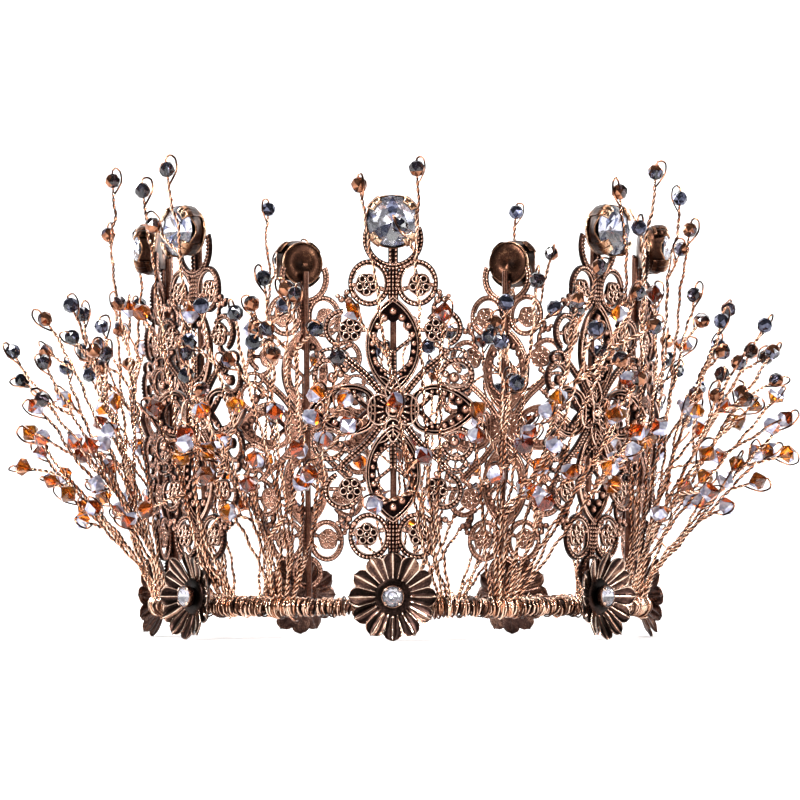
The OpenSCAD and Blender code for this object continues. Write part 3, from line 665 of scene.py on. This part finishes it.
# Twigs, by the same tables and rules as the CAD source's: places are [along, out, up] in mm
# along, out, up, fork, spread, drop, bicones
SPRAY_TABLE = [
    [-14, 20, 42, 0.58, 6, 11, 2], [-13, 29, 63, 0.66, 6, 10, 0], [-7, 22, 73, 0.70, -6, 9, 0],
    [-4, 35, 51, 0.62, -7, 9, 2], [2, 13, 82, 0.74, 7, 7, 0], [6, 23, 31, 0.50, -8, 8, 2],
    [8, 36, 69, 0.70, 7, 8, 0], [13, 20, 80, 0.70, -6, 10, 0], [16, 34, 48, 0.60, 6, 10, 2],
    [20, 30, 75, 0.72, 6, 9, 0], [25, 29, 40, 0.60, -7, 9, 2], [27, 22, 60, 0.68, -7, 9, 1],
]
SPRIG_TABLE = [
    [-6, 12, 100, 0.50, -3, 30, 1], [-1, 16, 54, 0.30, -7, 28, 2],
    [4, 15, 108, 0.74, -5, 14, 0], [12, 9, 76, 0.34, -7, 38, 2],
]
SPRAY_SEEDS = [13, 36, 64, 1, 23, 8, 92]
SPRIG_SEEDS = [47, 137, 56, 77, 104, 120, 134]
SIDE = [1, 1, 1, -1, 1, -1, 1]
ALONG_VARY, OUT_VARY, UP_VARY, SWAY = 2.5, 3.0, 4.0, 1.6
SPRIG_AT = 11.6
ROOT_R, ROOT_ROW_ANGLE = (KNOT_D + WRAP_THIN_D) / 4 + 0.1, 38.0


def vary(seed, i, n):
    x = math.sin(math.radians(seed * 12.9898 + i * 78.233 + n * 37.719)) * 43758.5453
    return 2 * (x - math.floor(x)) - 1


def bead_length(bicone):
    return BICONE_L if bicone else ROUND_D


def root_in_knot(along, row):
    a = math.radians(row * ROOT_ROW_ANGLE)
    return np.array([along, ROOT_R * math.sin(a), ROOT_R * math.cos(a)])


def tip_end(bend, tip, bicone):
    return [tip - unit(tip - bend) * (bead_length(bicone) + PIN_OUT + NECK_L), tip]


def forked(root, knee, row, flip, seed, i):
    along, out, up, fork_at, spread, drop, bicones = row
    v = [vary(seed, i, n) for n in range(9)]
    tip = np.array([flip * along + ALONG_VARY * v[1], out + OUT_VARY * v[2], up + UP_VARY * v[3]])
    tip_2 = tip + np.array([flip * spread, OUT_VARY * v[4], -drop])
    fork = knee + (tip - knee) * fork_at + SWAY * np.array([v[5], v[6], 0])
    bend = fork + (tip - fork) * 0.5 + 0.6 * SWAY * np.array([v[7], v[8], 0])
    return [([root, knee, fork, bend] + tip_end(bend, tip, bicones > 1), bicones > 1),
            ([fork] + tip_end(fork, tip_2, bicones > 0), bicones > 0)]


def spray_twig(k, i):
    row, way = SPRAY_TABLE[i], SIDE[k - 1]
    slot = i / (len(SPRAY_TABLE) - 1) - 0.5
    root = root_in_knot(way * 6.2 * slot, i % 3 - 1)
    knee = np.array([way * (16 * slot + 2), 0.16 * row[1] + i % 3 - 1, 0.28 * row[2]])
    return forked(root, knee, row, way, SPRAY_SEEDS[k - 1], i)


def sprig_twig(k, i):
    a = math.radians(SPRIG_AT)
    root = root_in_knot(0.9 * (i - 1.5), i % 2 - 0.5) + RING_R * np.array([math.sin(a), math.cos(a) - 1, 0])
    knee = np.array([7 + 1.2 * i, 6.5 + 0.8 * (i % 2), 16 + 1.5 * i])
    return forked(root, knee, SPRIG_TABLE[i], 1, SPRIG_SEEDS[k - 1], i)


def in_frame(p, degrees):
    """A place [along, out, up] in the frame of the unit or spray at that angle, in the crown's frame."""
    return turn_z(np.array([[p[0], -RING_R - p[1], RING_Z + p[2]]]), degrees)[0]


def twigs(twig, table, k, degrees):
    """The paths of a spray or sprig, each with True where it ends in a bicone."""
    return [([in_frame(p, degrees) for p in path], bicone)
            for i in range(len(table)) for path, bicone in twig(k, i)]


# Wires: the radius of a strand, and of its way round the twist and at the twist's end, then those of the wire
# beside a bead and of the binding
STRAND_R, TWIST_R, TWIST_END_R = 0.27, 0.25, 0.12
LOOP_R, COIL_R = 0.28, 0.25
TWIG_STEP, WOBBLE = 0.6, 0.32


def wire(shape, path, r, lift, sides=4):
    sweep(shape, path, on_circle(even_angles(sides), r), lift=lift)


def twisted(shape, points, chance):
    """Two strands twisted round each other along a smooth curve through points, with painted shade where they
    meet.
    """
    path = curve(points, TWIG_STEP)
    s = lengths(path)
    pitch = chance.uniform(2.9, 3.6)
    w = [chance.uniform(0, 6.28) for _ in range(4)]
    a, b = carried_axes(path)
    fade = np.clip(np.minimum(s, s[-1] - s) / 6, 0, 1)[:, None]
    for axis, fast, slow, p, q in ((a, 0.8, 0.33, w[0], w[1]), (b, 0.65, 0.29, w[2], w[3])):
        path = path + fade * WOBBLE * (np.sin(s * fast + p) * np.sin(s * slow + q))[:, None] * axis
    phase = s / pitch * 2 * math.pi + 0.6 * np.sin(s * 0.23 + w[1]) + w[0]
    spread = TWIST_R * (1 + 0.12 * np.sin(s * 0.5 + w[2]))
    spread = np.where(s > s[-1] - 1.2, TWIST_END_R, spread)[:, None]
    for turn in (0, math.pi):
        angle = (phase + turn)[:, None]
        strand = path + spread * (np.cos(angle) * a + np.sin(angle) * b)
        # Each strand's lift is lower on the side towards the other strand, a painted shade, and higher on its
        # outer side, with a slow random swing along it
        wear_and_shading = 0.45 + 0.5 * np.cos(even_angles(4) - angle) + 0.14 * np.sin(s * 0.33 + w[3])[:, None]
        wire(shape, strand, STRAND_R, np.clip(wear_and_shading, 0, 1))


def bead_loop(shape, centre, way, bicone, chance):
    """The wire that comes out of a bead's far end, loops back beside it and joins the twig at its neck."""
    half, r = bead_length(bicone) / 2, BICONE_R if bicone else ROUND_R
    t = unit(np.cross(way, [chance.uniform(-1, 1) for _ in range(3)]))
    high, wide = 0.5 + 1.3 * chance.random() ** 2, chance.uniform(0.0, 0.5)
    # Places as [along the bead, away from it]
    places = [[-half - 0.4, 0], [half - 0.3, 0], [half + 0.6 * high, 0.25], [half + high, 0.8 + wide],
              [half + 0.35 * high, r + wide], [0, r + 0.3 + 0.5 * wide], [-0.9 * half, 0.55 * r + 0.4],
              [-half - 1.6, 0.2]]
    path = curve([centre + way * along + t * away for along, away in places], 0.7)
    wire(shape, path, LOOP_R, 0.3 + 0.3 * np.sin(np.arange(len(path)) * 0.8 + 6 * wide))


def faceted(rows, sides):
    """A drilled bead: rings of [radius, height, half steps], joined by triangular facets, and its bore."""
    points = np.concatenate([flat(on_circle((np.arange(sides) + turn) * 2 * math.pi / sides, r), z)
                             for r, z, turn in rows])
    faces = []
    for q in range(len(rows) - 1):
        ahead = rows[q][2] < rows[q + 1][2]
        for a, b, c, d in grid_faces(2, sides):
            facets = ((a, b, d), (b, c, d)) if ahead else ((a, b, c), (a, c, d))
            faces += [tuple(i + q * sides for i in f) for f in facets]
    last = (len(rows) - 1) * sides
    faces += [(last + i, last + (i + 1) % sides, (i + 1) % sides, i) for i in range(sides)]
    return points, outward(points, faces)


ROUND_R, BICONE_R = ROUND_D / 2, BICONE_D / 2
ROUND_BEAD = faceted([[BORE_R, -0.95 * ROUND_R, 0], [0.62 * ROUND_R, -0.8 * ROUND_R, 0.5],
                      [0.98 * ROUND_R, -0.28 * ROUND_R, 0], [0.98 * ROUND_R, 0.28 * ROUND_R, 0.5],
                      [0.62 * ROUND_R, 0.8 * ROUND_R, 0], [BORE_R, 0.95 * ROUND_R, 0.5]], 7)
BICONE_BEAD = faceted([[BORE_R + 0.1, -BICONE_L / 2, 0], [0.97 * BICONE_R, -0.12 * BICONE_L, 0.5],
                       [0.97 * BICONE_R, 0.12 * BICONE_L, 0], [BORE_R + 0.1, BICONE_L / 2, 0.5]], 6)


def add_bead(shape, face_values, centre, way, bicone, chance):
    """Adds a bead, and for each face its coat (1 on the metallized side), its kind and its shade."""
    points, faces = BICONE_BEAD if bicone else ROUND_BEAD
    a = unit(np.cross(way, [0.3, 0.5, 0.8]))
    placed = turn_z(points, chance.uniform(0, 360)) @ np.stack([a, np.cross(way, a), way]) + centre
    shape.add(placed, faces, smooth=False)
    coated = unit(np.array([chance.gauss(0, 1) for _ in range(3)]))
    edge = chance.uniform(-0.1, 0.5) if bicone else chance.uniform(-0.25, 0.25)
    shade = chance.random()
    for f in faces:
        facing = unit(placed[list(f)].mean(0) - centre) @ coated
        face_values["coat"].append(1.0 if facing > edge else 0.0)
        face_values["kind"].append(1.0 if bicone else 0.0)
        face_values["shade"].append(shade)


# Further short twigs with a bead each, more than the CAD source's count of solids leaves room for
MORE_TWIGS, TRIES = 13, 600
NEAREST_R, FARTHEST_R, HIGHEST, BICONES_BELOW = 64, 97, 90, 62
CLEAR_OF_WIRE, CLEAR_OF_BEAD = 3.1, 5.0


def end_bead(path, bicone):
    """The middle and the direction of the bead at a twig's end."""
    way = unit(path[-1] - path[-2])
    return path[-1] - way * (PIN_OUT + bead_length(bicone) / 2), way


def more_twigs(paths, others, chance):
    """Short branches off the twigs of a spray, each with a bead clear of every other bead and wire."""
    cloud = np.concatenate([curve(p, 2.0) for p, _ in paths])
    beads = [end_bead(*twig)[0] for twig in paths + others]
    made = []
    for _ in range(TRIES):
        if len(made) == MORE_TWIGS:
            break
        smooth = curve(paths[2 * chance.randrange(len(paths) // 2)][0], 2.0)
        start = point_near(smooth, chance.uniform(0.25, 0.75))
        on = point_near(smooth, 0.9) - start
        out = unit(start * [1, 1, 0])
        side = np.cross(out, [0, 0, 1]) * chance.choice((-1, 1)) * chance.uniform(0.25, 1)
        way = unit(unit(on) * 0.75 + side * 0.95 + out * chance.uniform(-0.25, 0.45) + np.array([0, 0, 0.2]))
        tip = start + way * chance.uniform(11, 21)
        if not NEAREST_R <= math.hypot(tip[0], tip[1]) <= FARTHEST_R or tip[2] > HIGHEST:
            continue
        bicone = tip[2] < BICONES_BELOW
        centre = tip - way * (PIN_OUT + bead_length(bicone) / 2)
        if any(np.linalg.norm(places - centre, axis=1).min() < clear
               for places, clear in ((cloud, CLEAR_OF_WIRE), (np.array(beads), CLEAR_OF_BEAD))):
            continue
        bend = start + (tip - start) * 0.45 + side * 1.5
        neck = tip - way * (bead_length(bicone) + PIN_OUT + NECK_L)
        beads.append(centre)
        made.append(([start, bend, neck, tip], bicone))
    return made


def bare_ends(shape, paths, chance, count):
    """Cut ends of single wires that stand off the twigs."""
    for _ in range(count):
        smooth = curve(paths[chance.randrange(len(paths))][0], 2.0)
        start = point_near(smooth, chance.uniform(0.2, 0.8))
        on = unit(point_near(smooth, 0.95) - start)
        side = unit(np.cross(on, [chance.gauss(0, 1) for _ in range(3)]))
        reach = chance.uniform(3, 8)
        points = [start - on * 1.5, start, start + on * 0.45 * reach + side * 0.3 * reach,
                  start + on * 0.7 * reach + side * chance.uniform(0.4, 0.9) * reach]
        wire(shape, curve(points, 0.8), STRAND_R, 0.6)


def round_ring(angle, phi, reach):
    """Places at an angle round the crown, and at an angle phi and a reach round the ring's wire."""
    r = RING_R + reach * np.cos(phi)
    return np.stack([r * np.sin(angle), -r * np.cos(angle), RING_Z + reach * np.sin(phi)], 1)


def loose_turns(shape, first, last, reach, count, chance):
    """Stray turns of binding wire over the others, some with a loop that stands out or a cut end."""
    t = np.linspace(0, 1, 18)
    rise = np.sin(np.pi * t).clip(0, 1)
    for _ in range(count):
        at, span = chance.uniform(first, last), chance.uniform(-2.4, 2.4)
        phi = chance.uniform(0, 6.28) + 2 * math.pi * t * chance.uniform(0.5, 1.3) * chance.choice((-1, 1))
        out = reach - 0.35 + 0.35 * np.sqrt(rise) + rise**2 * chance.choice((0.05, 0.12, 0.25, 0.45))
        if chance.random() < 0.06:
            out = out + 1.5 * t**3
        angle = np.radians(np.clip(at + span * (t - 0.5), first, last))
        wire(shape, round_ring(angle, phi, out), COIL_R, 0.6 + 0.4 * np.sin(t * 7 + phi[0]))


# Reach and pitch of the two layers of a knot, and the reach of the loose turns over them
KNOT_LAYERS, KNOT_LOOSE_REACH = ((1.95, 0.62), (2.35, 0.85)), 2.3


def knot_coil(shape, at, half_angle, chance):
    """Wire wound round the ring over the tails of the twigs in two layers, with loose turns over it."""
    length = math.radians(2 * half_angle) * RING_R
    for layer, (reach, pitch) in enumerate(KNOT_LAYERS):
        turns = int(length / pitch)
        t = np.linspace(0, 1, turns * 9 + 1)
        phi = 2 * math.pi * turns * t + chance.uniform(0, 6)
        angle = np.radians(at - half_angle + 2 * half_angle * (t + 0.02 * np.sin(9 * t + layer)) * 0.96)
        if layer:
            angle = angle[::-1] + np.radians(0.3 * np.sin(23 * t))
        path = round_ring(angle, phi, reach + 0.12 * layer * np.sin(phi * 0.41))
        wire(shape, path, COIL_R, 0.5 + 0.5 * np.sin(phi * 0.5 + layer))
    loose_turns(shape, at - half_angle, at + half_angle, KNOT_LOOSE_REACH, int(4 * half_angle), chance)


def crown_coil(shape, first, last, reach, pitch, r, chance, sides=4, loose=0.0):
    """Binding wire wound round the ring from one angle to another, in degrees anticlockwise from unit 1."""
    turns = max(2, int(math.radians(last - first) * RING_R / pitch))
    t = np.linspace(0, 1, turns * 8 + 1)
    waves = [(chance.uniform(3, 11), chance.uniform(0, 6.28)) for _ in range(3)]
    uneven = sum(np.sin(w * 2 * math.pi * t + p) / w for w, p in waves) * loose
    along = t + (uneven - uneven[0] - (uneven[-1] - uneven[0]) * t) / turns * 2
    angle = np.radians(first + (last - first) * along)
    phi = 2 * math.pi * turns * t + chance.uniform(0, 6.28)
    (_, p0), (_, p1), (_, p2) = waves
    angle = angle + math.radians(0.3) * loose * np.sin(phi * 1.13 + p1)
    out = reach + loose * (0.09 * np.sin(phi * 0.37 + p0) + 0.1 * np.sin(phi * 0.11 + p2))
    wire(shape, round_ring(angle, phi, out), r, 0.5 + 0.5 * np.sin(phi * 0.5 + p1), sides)


# Materials

class Look:
    """A material with one Principled shader, and the nodes that feed it."""

    def __init__(self, name):
        self.material = bpy.data.materials.new(name)
        self.material.use_nodes = True
        self.nodes, self.links = self.material.node_tree.nodes, self.material.node_tree.links

    def feed(self, inputs, values):
        """Links outputs to inputs, named or numbered, or sets the inputs to plain values."""
        for key, value in values.items():
            if isinstance(value, bpy.types.NodeSocket):
                self.links.new(value, inputs[key])
            else:
                inputs[key].default_value = (*value, 1) if isinstance(value, tuple) else value

    def finish(self, **values):
        """Feeds the shader, whose inputs are named with _ for a space."""
        named = {key.replace("_", " "): value for key, value in values.items()}
        self.feed(self.nodes["Principled BSDF"].inputs, named)
        return self.material

    def node(self, kind, values=(), **settings):
        made = self.nodes.new("ShaderNode" + kind)
        for key, value in settings.items():
            setattr(made, key, value)
        self.feed(made.inputs, dict(values))
        return made

    def math(self, operation, *values, clamp=False):
        return self.node("Math", enumerate(values), operation=operation, use_clamp=clamp).outputs[0]

    def mix(self, factor, a, b):
        """A mix of two colours."""
        return self.node("Mix", {0: factor, 6: a, 7: b}, data_type="RGBA").outputs[2]

    def ramp(self, value, *stops):
        """A colour ramp with stops [position, red, green, blue]."""
        made = self.node("ValToRGB", {0: value})
        elements = made.color_ramp.elements
        for i, (position, *colour) in enumerate((stops[0], stops[-1])):
            elements[i].position, elements[i].color = position, (*colour, 1)
        for position, *colour in stops[1:-1]:
            elements.new(position).color = (*colour, 1)
        return made.outputs[0]

    def grain(self, scale, detail=4.0):
        """Noise with scale patches a metre."""
        place = self.node("NewGeometry").outputs["Position"]
        values = {"Scale": scale, "Detail": detail, "Roughness": 0.6, "Vector": place}
        return self.node("TexNoise", values).outputs["Fac"]

    def attribute(self, name):
        return self.node("Attribute", attribute_name=name).outputs["Fac"]


PATCHES, EVEN_WEAR = 0.7, 0.55


def antique_metal(name, rough, *stops, use_lift=True):
    """Copper that the lift makes dark in its recesses and bright on its raised edges: partly patina and wear,
    partly painted shade and painted highlight. rough is the roughness of the two.
    """
    look = Look(name)
    fine = look.grain(2600)
    spots, clouds = (look.math("MULTIPLY_ADD", g, PATCHES, -PATCHES / 2) for g in (fine, look.grain(260)))
    lift = look.attribute("lift") if use_lift else EVEN_WEAR
    wear_and_shading = look.math("ADD", lift, look.math("ADD", spots, clouds), clamp=True)
    dents = look.node("Bump", {"Strength": 0.05, "Distance": 0.0002, "Height": fine})
    return look.finish(Base_Color=look.ramp(wear_and_shading, *stops), Metallic=1.0, Normal=dents.outputs[0],
                       Roughness=look.node("MapRange", {0: wear_and_shading, 3: rough[0], 4: rough[1]}).outputs[0])


# The ramps run from near-black patina and painted shade at lift 0 to bright worn copper with painted
# highlight at lift 1; the post has one even lift
FILIGREE = antique_metal("antique_copper", (0.48, 0.16), (0.0, 0.006, 0.003, 0.003),
                         (0.34, 0.028, 0.012, 0.009), (0.64, 0.42, 0.20, 0.135), (1.0, 1.0, 0.71, 0.56))
PETAL = antique_metal("antique_copper_petals", (0.38, 0.12), (0.0, 0.008, 0.005, 0.004),
                      (0.35, 0.065, 0.034, 0.028), (0.65, 0.34, 0.185, 0.125), (1.0, 1.0, 0.80, 0.65))
CUP = antique_metal("antique_copper_cups", (0.4, 0.16), (0.0, 0.010, 0.005, 0.004),
                    (0.35, 0.06, 0.026, 0.016), (0.65, 0.38, 0.19, 0.105), (1.0, 0.98, 0.76, 0.55))
WIRE = antique_metal("copper_wire", (0.36, 0.13), (0.0, 0.012, 0.005, 0.004), (0.3, 0.09, 0.034, 0.020),
                     (0.6, 0.74, 0.35, 0.205), (1.0, 1.0, 0.78, 0.60))
BINDING = antique_metal("copper_binding", (0.4, 0.15), (0.0, 0.008, 0.004, 0.003), (0.4, 0.085, 0.036, 0.023),
                        (0.7, 0.42, 0.21, 0.13), (1.0, 0.95, 0.63, 0.47))
POST = antique_metal("copper_post", (0.42, 0.22), (0.0, 0.012, 0.006, 0.005), (0.45, 0.075, 0.032, 0.022),
                     (1.0, 0.36, 0.17, 0.115), use_lift=False)


def crystal():
    look = Look("crystal")
    tint = look.ramp(look.grain(420, 1.0), (0.3, 0.93, 0.95, 1.0), (0.7, 1.0, 0.98, 0.96))
    return look.finish(Base_Color=tint, Roughness=0.0, IOR=1.5, Transmission_Weight=1.0)


def foil():
    """The mirror coat on the back facets of a cut stone, with painted reflections: each facet has a random
    tone from dark blue to white.
    """
    look = Look("foil_back")
    sparkles = look.ramp(look.attribute("sparkle"), (0.0, 0.02, 0.04, 0.18), (0.10, 0.08, 0.12, 0.34),
                      (0.14, 0.55, 0.55, 0.68), (0.6, 0.82, 0.82, 0.90), (1.0, 0.99, 0.98, 0.98))
    tint = look.ramp(look.grain(500, 1.0), (0.3, 0.70, 0.74, 0.88), (0.7, 1.0, 0.99, 0.97))
    return look.finish(Base_Color=look.mix(0.25, sparkles, tint), Metallic=0.75, Roughness=0.06)


def bead_glass():
    """Faceted glass, metallized on one side: amber bicones and smoky round beads."""
    look = Look("bead_glass")
    coat, kind, shade = (look.attribute(n) for n in ("coat", "kind", "shade"))
    clouds = look.grain(700, 1.5)
    amber = look.ramp(shade, (0.0, 0.34, 0.035, 0.008), (0.4, 0.64, 0.11, 0.010), (0.75, 1.0, 0.30, 0.02),
                      (1.0, 0.36, 0.05, 0.012))
    smoke = look.ramp(shade, (0.0, 0.035, 0.035, 0.06), (0.5, 0.13, 0.135, 0.20), (1.0, 0.10, 0.05, 0.04))
    silver = look.ramp(clouds, (0.3, 0.22, 0.22, 0.34), (0.5, 0.48, 0.47, 0.58), (0.7, 0.78, 0.77, 0.83))
    bronze = look.ramp(clouds, (0.3, 0.12, 0.04, 0.02), (0.7, 0.46, 0.20, 0.11))
    blue = look.ramp(clouds, (0.3, 0.026, 0.028, 0.050), (0.7, 0.14, 0.145, 0.205))
    round_coat = look.mix(look.math("GREATER_THAN", shade, 0.45), blue, bronze)
    coated, bare = look.mix(kind, round_coat, silver), look.mix(kind, smoke, amber)
    metal = look.math("MULTIPLY_ADD", kind, -0.3, 0.9)
    return look.finish(Base_Color=look.mix(coat, bare, coated), Roughness=0.05, IOR=1.56,
                       Metallic=look.math("MULTIPLY", coat, metal),
                       Transmission_Weight=look.math("MULTIPLY_ADD", coat, -0.95, 0.95))


CRYSTAL, FOIL, BEAD_GLASS = crystal(), foil(), bead_glass()


# The crown

def dress(obj, slot, *nodes, body="root"):
    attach(obj, body)
    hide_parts(*nodes)


def placed_shape(drawn, move, slot=None):
    """A shape moved to its place at unit 1, in one material slot if that is given."""
    shape = Shape()
    shape.take(drawn, move)
    if slot is not None:
        shape.slots = [slot] * len(shape.slots)
    return shape


def copies(shape, name, materials, slot, node, face_values=None):
    """One object a unit, all with the same mesh."""
    first = shape.object(f"{name}_1", materials, face_values)
    for k in range(1, UNITS + 1):
        o = first if k == 1 else show(bpy.data.objects.new(f"{name}_{k}", first.data))
        o.rotation_euler = (0, 0, math.radians((k - 1) * PITCH))
        dress(o, slot, f"{node}_{k}")


def panels_and_stones():
    panel = placed_shape(filigree(), facing_out(PANEL_R, PANEL_Z, PANEL_LEAN))
    panel.take(placed_shape(cup(), facing_out(CUP_BACK_R, STONE_Z), slot=1))
    copies(panel, "filigree_panel", [FILIGREE, CUP], "antique_copper", "panel")
    chance = random.Random(5)
    stone = placed_shape(brilliant(STONE_R, 3.0, 2.1), facing_out(CUP_BACK_R + CUP_FLOOR + GAP, STONE_Z))
    small = placed_shape(brilliant(FLOWER_STONE_R, 1.2, 0.8),
                         facing_out(FLOWER_BACK_R + BEZEL_FLOOR + GAP, FLOWER_R))
    for shape, name, node in ((stone, "cut_stone", "stone"), (small, "cut_flower_stone", "flower_stone")):
        # A random painted reflection tone for each facet, read by the foil
        sparkles = {"sparkle": [chance.random() for _ in shape.faces]}
        copies(shape, name, [CRYSTAL, FOIL], "crystal", node, sparkles)


# Half the width of the knots in degrees, and the number of cut ends
SPRAY_HALF, SPRIG_HALF = 3.6, 1.7
SPRAY_ENDS, SPRIG_ENDS = 5, 1


def flower_and_twigs(k):
    """The flower of a unit, and the wires and beads of its spray and sprig."""
    turn = (k - 1) * PITCH
    chance = random.Random(1000 + k)
    flower = placed_shape(blossom(k), facing_out(FLOWER_BACK_R, FLOWER_R))
    flower = flower.object(f"ribbed_flower_{k}", [PETAL])
    flower.rotation_euler = (0, 0, math.radians(turn))
    dress(flower, "antique_copper", f"flower_{k}")

    spray_at = turn + PITCH / 2
    spray, sprig = twigs(spray_twig, SPRAY_TABLE, k, spray_at), twigs(sprig_twig, SPRIG_TABLE, k, turn)
    more = more_twigs(spray, sprig, chance)
    beads = Shape()
    face_values = {"coat": [], "kind": [], "shade": []}
    for kind, paths, extra, at, half, ends in (
            ("spray", spray, more, spray_at, SPRAY_HALF, SPRAY_ENDS),
            ("sprig", sprig, [], turn + SPRIG_AT, SPRIG_HALF, SPRIG_ENDS)):
        wires = Shape()
        for path, bicone in paths + extra:
            neck = path[-1] - unit(path[-1] - path[-2]) * (PIN_OUT + bead_length(bicone) + 0.2)
            twisted(wires, path[:-1] + [neck], chance)
        knot_coil(wires, at, half, chance)
        bare_ends(wires, paths, chance, ends)
        for path, bicone in paths + extra:
            centre, way = end_bead(path, bicone)
            bead_loop(wires, centre, way, bicone, chance)
            add_bead(beads, face_values, centre, way, bicone, chance)
        dress(wires.object(f"{kind}_wires_{k}", [WIRE]), "copper_wire", f"{kind}_{k}")
    dress(beads.object(f"glass_beads_{k}", [BEAD_GLASS], face_values), "bead_glass", f"beads_{k}")


# Binding of the ring, in degrees from a unit's middle: a thin layer beside each flower, wider in the bare
# stretch after unit BARE_UNIT, and a thick layer that leaves room for the knots
BARE_UNIT, BARE_FROM = 4, 25.0
THIN_FROM, THIN_TO, THICK_FROM, SPRAY_ROOM, SPRIG_ROOM = 2.6, 6.0, 5.2, 4.0, 2.1
THIN_REACH, THIN_PITCH, THICK_REACH, THICK_PITCH, THICK_WIRE_R = 1.25, 0.54, 1.85, 0.62, 0.26
LOOSE_REACH, LOOSE_PER_DEGREE = 2.15, 1.3


def binding():
    coils = Shape()
    chance = random.Random(77)
    for k in range(1, UNITS + 1):
        turn = (k - 1) * PITCH
        thin_end = BARE_FROM if k == BARE_UNIT else THIN_TO
        for first, last in ((THIN_FROM, THIN_TO), (PITCH - thin_end, PITCH - THIN_FROM)):
            crown_coil(coils, turn + first, turn + last, THIN_REACH, THIN_PITCH, COIL_R, chance, sides=3)
        for first, last in ((THICK_FROM, SPRIG_AT - SPRIG_ROOM),
                            (SPRIG_AT + SPRIG_ROOM, PITCH / 2 - SPRAY_ROOM),
                            (PITCH / 2 + SPRAY_ROOM, PITCH - THICK_FROM)):
            if k == BARE_UNIT and first > PITCH / 2:
                continue
            count = int(LOOSE_PER_DEGREE * (last - first))
            ends = turn + first, turn + last
            crown_coil(coils, *ends, THICK_REACH, THICK_PITCH, THICK_WIRE_R, chance, loose=1.0)
            loose_turns(coils, *ends, LOOSE_REACH, count, chance)
    dress(coils.object("binding_coils", [BINDING]), "copper_wire", "binding")


panels_and_stones()
for k in range(1, UNITS + 1):
    flower_and_twigs(k)
binding()
for name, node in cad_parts.items():
    if name.startswith("post_") or name == "ring_wire":
        node.data.materials.clear()
        node.data.materials.append(POST)


# Floor with a backdrop that curves up from it, lights and camera, in metres
FLOOR_HALF, BACK_Y, BACK_UP, BACK_R = 8.0, 2.6, 4.8, 1.4


def backdrop():
    bend = on_circle(np.radians(np.linspace(-90, 0, 25)), BACK_R) + [BACK_Y - BACK_R, BACK_R]
    profile = [[-FLOOR_HALF, 0.0], *bend.tolist(), [BACK_Y, BACK_UP]]
    n = len(profile)
    mesh = bpy.data.meshes.new("floor")
    mesh.from_pydata([(x, y, z) for x in (-FLOOR_HALF, FLOOR_HALF) for y, z in profile], [],
                     [(i, n + i, n + i + 1, i + 1) for i in range(n - 1)])
    mesh.polygons.foreach_set("use_smooth", [True] * (n - 1))
    look = Look("pale_floor")
    colour = look.ramp(look.grain(6), (0.3, 0.84, 0.84, 0.84), (0.7, 0.88, 0.88, 0.88))
    mesh.materials.append(look.finish(Base_Color=colour, Roughness=0.9, Emission_Color=(1, 1, 1),
                                      Emission_Strength=0.08))
    show(bpy.data.objects.new("floor", mesh))


def aim(obj, place, target):
    """Puts a light or the camera at a place, looking at a target."""
    obj.location = place
    obj.rotation_mode = "QUATERNION"
    obj.rotation_quaternion = (Vector(target) - Vector(place)).to_track_quat("-Z", "Y")
    show(obj)


def light(name, kind, place, target, energy, **settings):
    data = bpy.data.lights.new(name, kind)
    data.energy = energy
    for key, value in settings.items():
        setattr(data, key, value)
    aim(bpy.data.objects.new(name, data), place, target)


# Area lights: name, place, target, size, power
AREA_LIGHTS = [
    ("key", (-0.5, -0.8, 0.5), (0, 0, 0.05), (0.2, 0.2), 9),
    ("fill", (0.85, -0.6, 0.3), (0, 0, 0.06), (0.12, 0.6), 3.5),
    ("rim_left", (-0.7, 0.6, 0.4), (0, 0, 0.06), (0.15, 0.5), 5),
    ("rim_right", (0.7, 0.6, 0.4), (0, 0, 0.06), (0.15, 0.5), 5),
    ("backdrop_wash", (0, 0.6, 2.6), (0, BACK_Y, 1.0), (3.2, 0.8), 96),
]
FRAME_PX, PX_PER_MM, SENSOR = 800, 3.95, 36
CAMERA_DISTANCE, CAMERA_AZIMUTH, CAMERA_Z, TARGET_Z = 1.0, 1.5, 0.015, 0.060


def studio():
    backdrop()
    light("high", "SUN", (-0.25, -0.5, 1.0), (0, 0, 0), 2.9, angle=math.radians(14))
    for name, place, target, (wide, high), power in AREA_LIGHTS:
        light(name, "AREA", place, target, power, shape="RECTANGLE", size=wide, size_y=high)
    world = bpy.data.worlds.new("studio")
    world.use_nodes = True
    sky = world.node_tree.nodes["Background"].inputs
    sky[0].default_value, sky[1].default_value = (1, 1, 1, 1), 0.06
    bpy.context.scene.world = world
    bpy.context.scene.view_settings.view_transform = "Standard"


def point_camera():
    camera = bpy.data.cameras.new("camera")
    camera.sensor_width = SENSOR
    camera.clip_start, camera.clip_end = 0.05, 20
    camera.lens = SENSOR * PX_PER_MM / MM * CAMERA_DISTANCE / FRAME_PX
    eye = bpy.data.objects.new("camera", camera)
    a = math.radians(CAMERA_AZIMUTH)
    aim(eye, (CAMERA_DISTANCE * math.sin(a), -CAMERA_DISTANCE * math.cos(a), CAMERA_Z), (0, 0, TARGET_Z))
    bpy.context.scene.camera = eye


studio()
point_camera()
